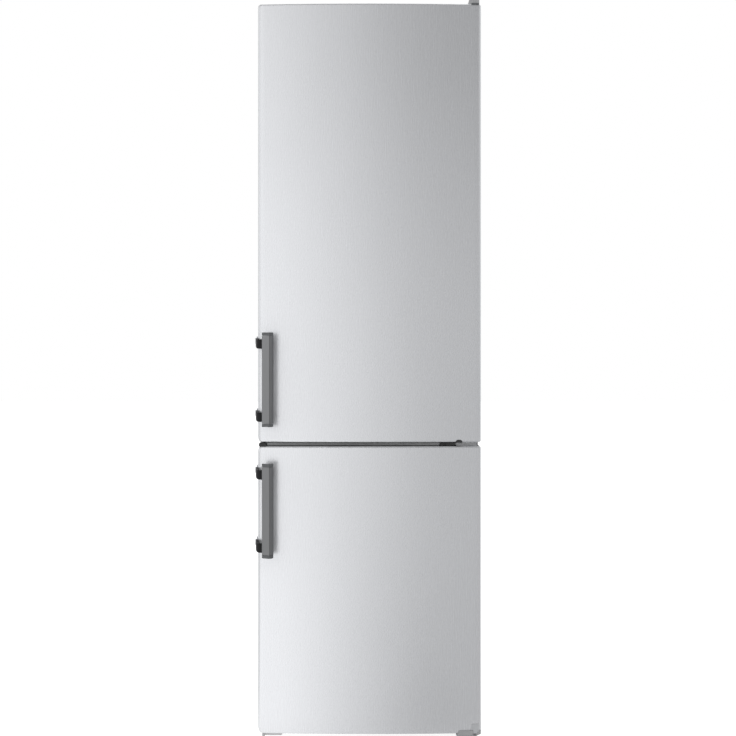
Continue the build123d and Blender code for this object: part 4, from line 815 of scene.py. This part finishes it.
def air_duct():
    """The duct on the back wall, in a length over each shelf, with its outlets."""
    duct = Shape()
    for low, high in zip(SHELF_TOPS, SHELF_TOPS[1:] + [FRIDGE_CEILING]):
        y = (DUCT_FACE, FRIDGE_BACK - OFF_WALL)
        duct.block(about(0, DUCT_HALF_WIDTH), y, (low + 12, high - 18), 3, steps=3)
        for k in range(OUTLETS):
            z = high - 60 + OUTLET_STEP * k
            duct.block(about(0, OUTLET_HALF_WIDTH), (DUCT_FACE - 3, DUCT_FACE + 1), (z, z + 2.6), 1.0)
    duct.piece("air_duct", "cabinet", "inner_plastic")


def drain_gutter():
    """The gutter low on the back wall, and its spout."""
    gutter = Shape()
    for half_width, z in GUTTER:
        gutter.block(about(0, half_width), (FRIDGE_BACK - 7, FRIDGE_BACK - OFF_WALL), z, 1.5)
    gutter.piece("drain_gutter", "cabinet", "inner_plastic")


def spare_ledges():
    """Ledges over the shelves, to move these up to, each with a stop at its front."""
    ledges = Shape()
    for z in [top + LEDGE_OVER_SHELF for top in SHELF_TOPS]:
        for side in (-1, 1):
            x = sorted((side * (FRIDGE_SIDE - OFF_WALL), side * (FRIDGE_SIDE - 6)))
            ledges.block(x, LEDGE_Y, (z, z + 5), 1.8, steps=3)
            ledges.block(x, LEDGE_STOP_Y, (z - 3, z + 9), 1.8, steps=3)
    ledges.piece("spare_ledges", "cabinet", "inner_plastic")


def sensor_cover():
    """The louvred cover of the temperature sensor on the right wall."""
    cover = Shape()
    cover.block((FRIDGE_SIDE - 6, FRIDGE_SIDE - OFF_WALL), SENSOR_Y, SENSOR_Z, 2, steps=3)
    for k in range(SENSOR_SLOTS):
        z = SENSOR_Z[0] + 7 + 6.6 * k
        y = (SENSOR_Y[0] + 7, SENSOR_Y[1] - 7)
        cover.block((FRIDGE_SIDE - 7.6, FRIDGE_SIDE - 5), y, (z, z + 2.4), 0.8)
    cover.piece("sensor_cover", "cabinet", "inner_plastic")


def panel_fittings():
    """A fine frame and a row of small lamps on the control panel."""
    x, y, z = limits("control_panel")
    bars = Shape()
    face = (y[0] - 0.7, y[0] + 0.5)
    for low in (z[0] + 3, z[1] - 4):
        bars.block((x[0] + 6, x[1] - 6), face, (low, low + 1), 0.3)
    for low in (x[0] + 6, x[1] - 7):
        bars.block((low, low + 1), face, (z[0] + 3, z[1] - 3), 0.3)
    bars.piece("control_panel_frame", "cabinet", "trim_plastic")
    lamps = Shape()
    middle = sum(z) / 2
    for k in range(PANEL_LAMPS):
        at = x[1] - 82 + PANEL_LAMP_STEP * k
        lamps.head((at, y[0] + 0.3, middle), (at, y[0] - 0.6, middle), 1.6, slope=0.3, inset=0.5, sides=16)
    lamps.piece("control_panel_lamps", "cabinet", "button_plastic")


def front_fittings(node, spacing):
    """A trim along a drawer's grip lip, and stiffening ribs down its front and along its foot."""
    x, y, z = limits(node)
    trim = Shape()
    trim.block((x[0] + 9, x[1] - 9), (y[0] - 1.6, y[0] + 0.4), (z[1] - 12, z[1] - 2), 1.2, steps=3)
    trim.piece(f"{node}_trim", node, "trim_plastic")
    ribs = Shape()
    face = (y[0] + GRIP_LIP - 1.6, y[0] + GRIP_LIP + 0.3)
    count = int((x[1] - x[0] - 50) / spacing)
    for k in range(count + 1):
        at = sum(x) / 2 + spacing * (k - count / 2)
        ribs.block(about(at, 1.3), face, (z[0] + 16, z[1] - 24), 0.7)
    ribs.block((x[0] + 24, x[1] - 24), face, (z[0] + 11, z[0] + 14), 0.7)
    ribs.piece(f"{node}_ribs", node, "drawer_plastic")


def evaporator_louvres():
    """Two fields of louvres in the evaporator's cover, and its screws."""
    y = limits("evaporator_cover")[1][0]
    louvres = Shape()
    for low, count in LOUVRE_FIELDS:
        for k in range(count):
            z = low + LOUVRE_STEP * k
            louvres.block(about(0, LOUVRE_HALF_WIDTH), (y - 2.6, y + 0.4), (z, z + 4), 1.4, steps=3)
    louvres.piece("evaporator_louvres", "cabinet", "inner_plastic")
    screws = Shape()
    for x, z in COVER_SCREWS:
        screws.head((x, y + 0.2, z), (x, y - 1.4, z), 4.4, slope=0.7, inset=1.2, sides=20)
    screws.piece("evaporator_cover_screws", "cabinet", "screw_steel")


# ======== inside the doors ========

DOOR_LINER, RACK_FRONT = limits("bottle_rack")[1]
RACK_HEIGHT = 75
LOW_RACK, HIGH_RACK = limits("door_racks")[2]
RACKS = (limits("bottle_rack")[2], (LOW_RACK, LOW_RACK + RACK_HEIGHT), (HIGH_RACK - RACK_HEIGHT, HIGH_RACK))
RACK_RIBS = 9
RACK_RIB_STEP = 42
BEAD_FIELDS = ((1048, 1140), (1252, 1390), (1502, 1632), (1767, 1912))  # over the racks and the dairy box
BEAD_STEP = 30  # the least one in the upper door
BEAD_LENGTHS = {"fridge_door": 336, "freezer_door": 280}
FREEZER_BEADS = [150 + 54 * k for k in range(11)]


def rack_fittings():
    """Guard trims and ribs on the door racks."""
    trims = Shape()
    ribs = Shape()
    for low, high in RACKS:
        trims.block(about(0, 191), (RACK_FRONT - 0.4, RACK_FRONT + 1.8), (high - 16, high - 4), 1.0, steps=3)
        for k in range(RACK_RIBS):
            at = RACK_RIB_STEP * (k - (RACK_RIBS - 1) / 2)
            ribs.block(about(at, 1.2), (RACK_FRONT - 0.3, RACK_FRONT + 1.2), (low + 9, high - 20), 0.6)
    trims.piece("rack_trims", "fridge_door", "trim_plastic")
    ribs.piece("rack_ribs", "fridge_door", "clear_plastic")


def fridge_beads():
    """Heights of beads that are spread evenly over each free field of the upper door's moulding."""
    heights = []
    for low, high in BEAD_FIELDS:
        count = int((high - low) / BEAD_STEP)
        heights += [low + (high - low) * (k + 0.5) / count for k in range(count)]
    return heights


def door_beads(door, heights):
    """Level beads pressed into a door's inner moulding."""
    beads = Shape()
    for z in heights:
        x = about(0, BEAD_LENGTHS[door] / 2)
        beads.block(x, (DOOR_LINER - 0.3, DOOR_LINER + 2.4), about(z, 4), 2.2, steps=3)
    beads.piece(f"{door}_beads", door, "inner_plastic")


# ======== back and underside ========

BACK = limits("back_panel")[1][1]
NICHE_TOP = limits("back_panel")[2][0]
CABINET_TOP = limits("cabinet_shell")[2][1]
TRAY_TOP = limits("compressor_tray")[2][1]
BACK_SCREWS = [(x, NICHE_TOP + 40 + 205 * k) for x in (-293.5, 293.5) for k in range(9)]
BACK_BEADS = [1700 + 66 * k for k in range(4)]
FOAM_PLUGS = [(x, 1940) for x in (-258, 258)]
SERVICE_TUBE = (118, 236, 118)  # it points to the right, and is pinched at its end
SERVICE_TUBE_PROFILE = [(0, 3.2), (24, 3.2), (27, 2.0), (34, 2.0)]
CLIP_ARMS_Y = ((196, 206), (224, 234))
CLIP_Z = (62, 122)
COMPRESSOR_FEET = [(x, y) for x in (-48, 128) for y in (167, 263)]
FOOT_X = 280
FOOT_Y = -195
FOOT_RIBS = 14
FOOT_RIB_CIRCLE = 13.5


def back_edges():
    """The back panel's folded edges and beads, its screws, and the compressor tray's folded lip."""
    edges = Shape()
    for side in (-1, 1):
        x = sorted((side * 289.5, side * 297.4))
        edges.block(x, (BACK - 0.5, BACK + 1.4), (NICHE_TOP + 2, CABINET_TOP - 2), 0.6)
    for z in (NICHE_TOP + 2, CABINET_TOP - 10):
        edges.block(about(0, 290), (BACK - 0.5, BACK + 1.2), (z, z + 8), 0.6)
    for z in BACK_BEADS:
        edges.block(about(0, 228), (BACK - 0.5, BACK + 2.8), (z, z + 15), 2.6, steps=4)
    edges.block(about(0, 297), (BACK - 1.6, BACK), (TRAY_TOP - 0.5, TRAY_TOP + 7), 0.5)
    edges.piece("back_panel_edges", "cabinet", "zinc_steel")
    screws = Shape()
    for x, z in BACK_SCREWS:
        screws.head((x, BACK + 1.2, z), (x, BACK + 3, z), 3.8, slope=0.6, inset=1.2, sides=18)
    screws.piece("back_panel_screws", "cabinet", "screw_steel")


def foam_plugs():
    """Plugs in the two holes that the foam was filled through, with a raised middle."""
    plugs = Shape()
    for x, z in FOAM_PLUGS:
        plugs.head((x, BACK - 0.2, z), (x, BACK + 2.2, z), 13, slope=1.0, inset=1.5, sides=32)
        plugs.turned((x, BACK + 2, z), (x, BACK + 2.9, z), [(0, 5), (0.9, 4.4)], 24)
    plugs.piece("foam_plugs", "cabinet", "black_plastic")


def compressor_fittings():
    """The compressor's service tube, the clip of its terminal cover, and its bolts."""
    tube = Shape()
    x, y, z = SERVICE_TUBE
    tube.turned(SERVICE_TUBE, (x + 1, y, z), SERVICE_TUBE_PROFILE, 20)
    tube.piece("service_tube", "cabinet", "copper")
    clip = Shape()
    side = limits("compressor")[0][0]
    for y in CLIP_ARMS_Y:
        clip.block((side - 1.4, side + 0.2), y, CLIP_Z, 0.5)
    clip.piece("terminal_cover_clip", "cabinet", "screw_steel")
    bolts = Shape()
    seat = limits("compressor_grommets")[2][1]
    for x, y in COMPRESSOR_FEET:
        bolts.turned((x, y, seat - 0.4), (x, y, seat), [(0, 8), (1.2, 8)])
        bolts.head((x, y, seat + 0.6), (x, y, seat + 6), 6.2, slope=1.0, inset=1.0, sides=6)
    bolts.piece("compressor_bolts", "cabinet", "screw_steel")


def drip_tray_ribs():
    """Ribs down the back of the drip tray over the compressor."""
    x, y, z = limits("drip_tray")
    ribs = Shape()
    for k in range(1, 10):
        ribs.block(about(x[0] + 20 * k, 1.2), (y[1] - 0.4, y[1] + 1.2), (z[0] + 7, z[1] - 7), 0.6)
    ribs.piece("drip_tray_ribs", "cabinet", SLOT_OF["drip_tray"])


def foot_ribs(name, side):
    """Grip ribs round a front foot's disc."""
    ribs = Shape()
    for k in range(FOOT_RIBS):
        angle = 2 * math.pi * k / FOOT_RIBS
        x = side * FOOT_X + FOOT_RIB_CIRCLE * math.cos(angle)
        y = FOOT_Y + FOOT_RIB_CIRCLE * math.sin(angle)
        ribs.rod((x, y, 1.6), (x, y, 7.2), 1.1, 0.4, 10)
    ribs.piece(f"{name}_ribs", name, "foot_plastic")


def roller_hub(name):
    """The hub of a rear roller, a little wider than the roller."""
    x, y, z = AXES[f"{name}_spin"]
    hub = Shape()
    hub.rod((x - 9.3, y, z), (x + 9.3, y, z), 4.6, 0.6)
    hub.piece(f"{name}_hub", name, "trim_plastic")


# ======== the whole object ========

for door in DOORS:
    door_shell(door)
    door_ends(door)
for door in DOORS:
    end_details(door)
rail_strip()
bracket_cover()
bracket_spacers()
door_stop()
door_notch_shade()
top_shade_line()
corner_cap()
corner_plates()
foot_bracket_lip()
for name, (low, high) in HANDLES.items():
    handle(name, low, high)
air_duct()
drain_gutter()
spare_ledges()
sensor_cover()
panel_fittings()
for crisper in ("crisper_left", "crisper_right"):
    front_fittings(crisper, CRISPER_RIBS)
for tier in ("bottom", "middle", "top"):
    front_fittings(f"freezer_drawer_{tier}", DRAWER_RIBS)
rack_fittings()
door_beads("fridge_door", fridge_beads())
door_beads("freezer_door", FREEZER_BEADS)
evaporator_louvres()
back_edges()
foam_plugs()
compressor_fittings()
drip_tray_ribs()
for side, name in ((-1, "left"), (1, "right")):
    foot_ribs(f"front_foot_{name}", side)
    roller_hub(f"rear_roller_{name}")


# ======== studio, in metres ========

CAMERA_X = -0.004
CAMERA_HEIGHT = 1.013
CAMERA_DISTANCE = 3.0  # from the doors' front
Y_DOORS = -0.300
VIEW_HALF_WIDTH = 0.9866  # half of what the picture spans at the doors
SENSOR = 36.0

SOFT_LIGHT = 0.72  # what the studio gives to every matt surface
WHITE = (1.0, 1.0, 1.0, 1.0)

# What polished surfaces see, by direction: x to the right, y to the back and z up, as parts of a unit vector.
# A pair holds the directions between which one level gives way to the next.
LEFT_LEVEL = 1.66  # before the doors, from the left to the right
RIGHT_LEVEL = 0.44
LEFT_BEARING = -0.22
RIGHT_BEARING = 0.14
ABOVE = (0.09, 0.29)  # higher up, the part before the doors has levels of its own
LEFT_LEVEL_ABOVE = 1.38
RIGHT_LEVEL_ABOVE = 0.0
LEFT_BEARING_ABOVE = -0.30
FRONT_SIDES = (0.29, 0.53)  # where the part before the doors ends, at both sides and towards the back
FRONT_BACK = (-0.85, -0.70)
WALLS = (-0.6, 0.7)
NEAR_SIDE_LEVEL = 0.95  # the walls, from the left to the right
FAR_SIDE_LEVEL = 0.5
LEFT_CARD = (-0.82, -0.66)  # a bright card far to the left, for the slopes of the handles
LEFT_CARD_LEVEL = 1.35
CEILING = (0.25, 0.6)
CEILING_LEVEL = 0.15
BEHIND = (-0.35, 0.15)
BACK_LEVEL = 1.0

FLOOR_SIZE = 60
FLOOR_DROP = 0.0003
FLOOR_COLOUR = 0.82
FLOOR_GLOW = 0.75
FLOOR_VIEW = 1.2  # a bearing on the floor is x / (|y| + this)
FLOOR_LEFT = (-0.56, -0.25)  # to the left of these the mirrored floor is as bright as the left wall
FLOOR_BEHIND = (-0.6, 0.2)

LAMP_TARGET = Vector((0, 0, 1))
LAMPS = {  # place, side of the square, and power
    "key": ((-1.6, -4.2, 3.2), 3.4, 16),
    "fill": ((2.2, -4.0, 2.4), 3.0, 10),
    "back": ((-1.0, 3.4, 2.8), 2.6, 16),
}


class Studio(Nodes):
    """The node tree of the world or of the floor, built from nothing."""

    def __init__(self, owner):
        super().__init__(owner)
        self.tree.nodes.clear()

    def ramp(self, value, ends, low, high):
        """A number that runs smoothly from low to high, while the value goes from end to end."""
        sockets = {"Value": value, "From Min": ends[0], "From Max": ends[1], "To Min": low, "To Max": high}
        return self.add("ShaderNodeMapRange", sockets, interpolation_type="SMOOTHSTEP").outputs["Result"]

    def rise(self, value, ends):
        """A share that runs from 0 to 1."""
        return self.ramp(value, ends, 0.0, 1.0)

    def fall(self, value, ends):
        """A share that runs from 1 to 0."""
        return self.ramp(value, ends, 1.0, 0.0)

    def lerp(self, share, low, high):
        """A number between two others, by a share."""
        return self.add("ShaderNodeMix", {"Factor": share, "A": low, "B": high}).outputs["Result"]

    def maths(self, operation, a, b=0.0):
        return self.add("ShaderNodeMath", {0: a, 1: b}, operation=operation).outputs[0]

    def shader(self, kind, **sockets):
        return self.add(kind, sockets).outputs[0]

    def chosen(self, share, first, second):
        """The first shader, or the second one by its share."""
        return self.add("ShaderNodeMixShader", {0: share, 1: first, 2: second}).outputs[0]

    def ray(self, kind):
        return self.add("ShaderNodeLightPath").outputs[kind]

    def seen_directly(self):
        """1 for rays from the camera and for those that passed through glass, 0 for light on the object."""
        return self.maths("MAXIMUM", self.ray("Is Camera Ray"), self.ray("Is Transmission Ray"))

    def place(self, kind):
        """The three coordinates of a texture space."""
        return self.add("ShaderNodeSeparateXYZ", {0: self.add("ShaderNodeTexCoord").outputs[kind]}).outputs

    def across(self, bearing):
        """The level before the doors, from the left to the right."""
        return self.ramp(bearing, (LEFT_BEARING, RIGHT_BEARING), LEFT_LEVEL, RIGHT_LEVEL)


def grey(level):
    return (level, level, level, 1.0)


def make_camera():
    data = bpy.data.cameras.new("camera")
    data.sensor_width = SENSOR
    data.lens = SENSOR / 2 * CAMERA_DISTANCE / VIEW_HALF_WIDTH
    camera = bpy.data.objects.new("camera", data)
    camera.location = (CAMERA_X, Y_DOORS - CAMERA_DISTANCE, CAMERA_HEIGHT)
    camera.rotation_euler = (math.radians(90), 0, 0)
    bpy.context.scene.collection.objects.link(camera)
    bpy.context.scene.camera = camera


def make_lamp(name, place, side, power):
    """A square lamp that is aimed at the object and that polished surfaces don't mirror."""
    data = bpy.data.lights.new(name, "AREA")
    data.shape = "SQUARE"
    data.size = side
    data.energy = power
    light = bpy.data.objects.new(name, data)
    light.location = place
    light.rotation_euler = (LAMP_TARGET - Vector(place)).to_track_quat("-Z", "Y").to_euler()
    light.visible_glossy = False
    bpy.context.scene.collection.objects.link(light)


def mirrored_studio(nodes, x, y, z):
    """How bright the studio is that polished surfaces see: bright on the left and dark on the right."""
    level_above = nodes.ramp(x, (LEFT_BEARING_ABOVE, RIGHT_BEARING), LEFT_LEVEL_ABOVE, RIGHT_LEVEL_ABOVE)
    front = nodes.lerp(nodes.rise(z, ABOVE), nodes.across(x), level_above)
    walls = nodes.ramp(x, WALLS, NEAR_SIDE_LEVEL, FAR_SIDE_LEVEL)
    walls = nodes.lerp(nodes.fall(x, LEFT_CARD), walls, LEFT_CARD_LEVEL)
    sides = nodes.lerp(nodes.rise(z, CEILING), walls, CEILING_LEVEL)
    around = nodes.lerp(nodes.rise(y, BEHIND), sides, BACK_LEVEL)
    aside = nodes.rise(nodes.maths("ABSOLUTE", x), FRONT_SIDES)
    elsewhere = nodes.maths("MAXIMUM", aside, nodes.rise(y, FRONT_BACK))
    return nodes.lerp(elsewhere, front, around)


def make_world():
    """An even soft light before a white backdrop, and a studio that only polished surfaces see."""
    world = bpy.data.worlds.new("studio")
    bpy.context.scene.world = world
    nodes = Studio(world)
    mirrored = mirrored_studio(nodes, *nodes.place("Generated"))
    level = nodes.lerp(nodes.ray("Is Glossy Ray"), SOFT_LIGHT, mirrored)
    studio = nodes.shader("ShaderNodeBackground", Color=WHITE, Strength=level)
    backdrop = nodes.shader("ShaderNodeBackground", Color=WHITE)
    seen = nodes.chosen(nodes.seen_directly(), studio, backdrop)
    nodes.add("ShaderNodeOutputWorld", {"Surface": seen})


def make_floor():
    """A white floor that keeps the object's shadow, and that polished surfaces see as part of the studio."""
    bpy.ops.mesh.primitive_plane_add(size=FLOOR_SIZE, location=(0, 0, -FLOOR_DROP))
    floor = bpy.context.object
    floor.name = "floor"
    material = bpy.data.materials.new("floor")
    nodes = Studio(material)
    x, y, _ = nodes.place("Object")
    pale = nodes.shader("ShaderNodeBsdfDiffuse", Color=grey(FLOOR_COLOUR))
    glow = nodes.shader("ShaderNodeEmission", Color=grey(FLOOR_GLOW), Strength=nodes.seen_directly())
    lit = nodes.add("ShaderNodeAddShader", {0: pale, 1: glow}).outputs[0]
    bearing = nodes.maths("DIVIDE", x, nodes.maths("ADD", nodes.maths("ABSOLUTE", y), FLOOR_VIEW))
    front = nodes.lerp(nodes.fall(bearing, FLOOR_LEFT), nodes.across(bearing), NEAR_SIDE_LEVEL)
    level = nodes.lerp(nodes.rise(y, FLOOR_BEHIND), front, BACK_LEVEL)
    mirrored = nodes.shader("ShaderNodeEmission", Strength=level)
    surface = nodes.chosen(nodes.ray("Is Glossy Ray"), lit, mirrored)
    nodes.add("ShaderNodeOutputMaterial", {"Surface": surface})
    floor.data.materials.append(material)


bpy.context.scene.view_settings.view_transform = "Standard"
make_camera()
make_world()
make_floor()
for name, (place, side, power) in LAMPS.items():
    make_lamp(name, place, side, power)
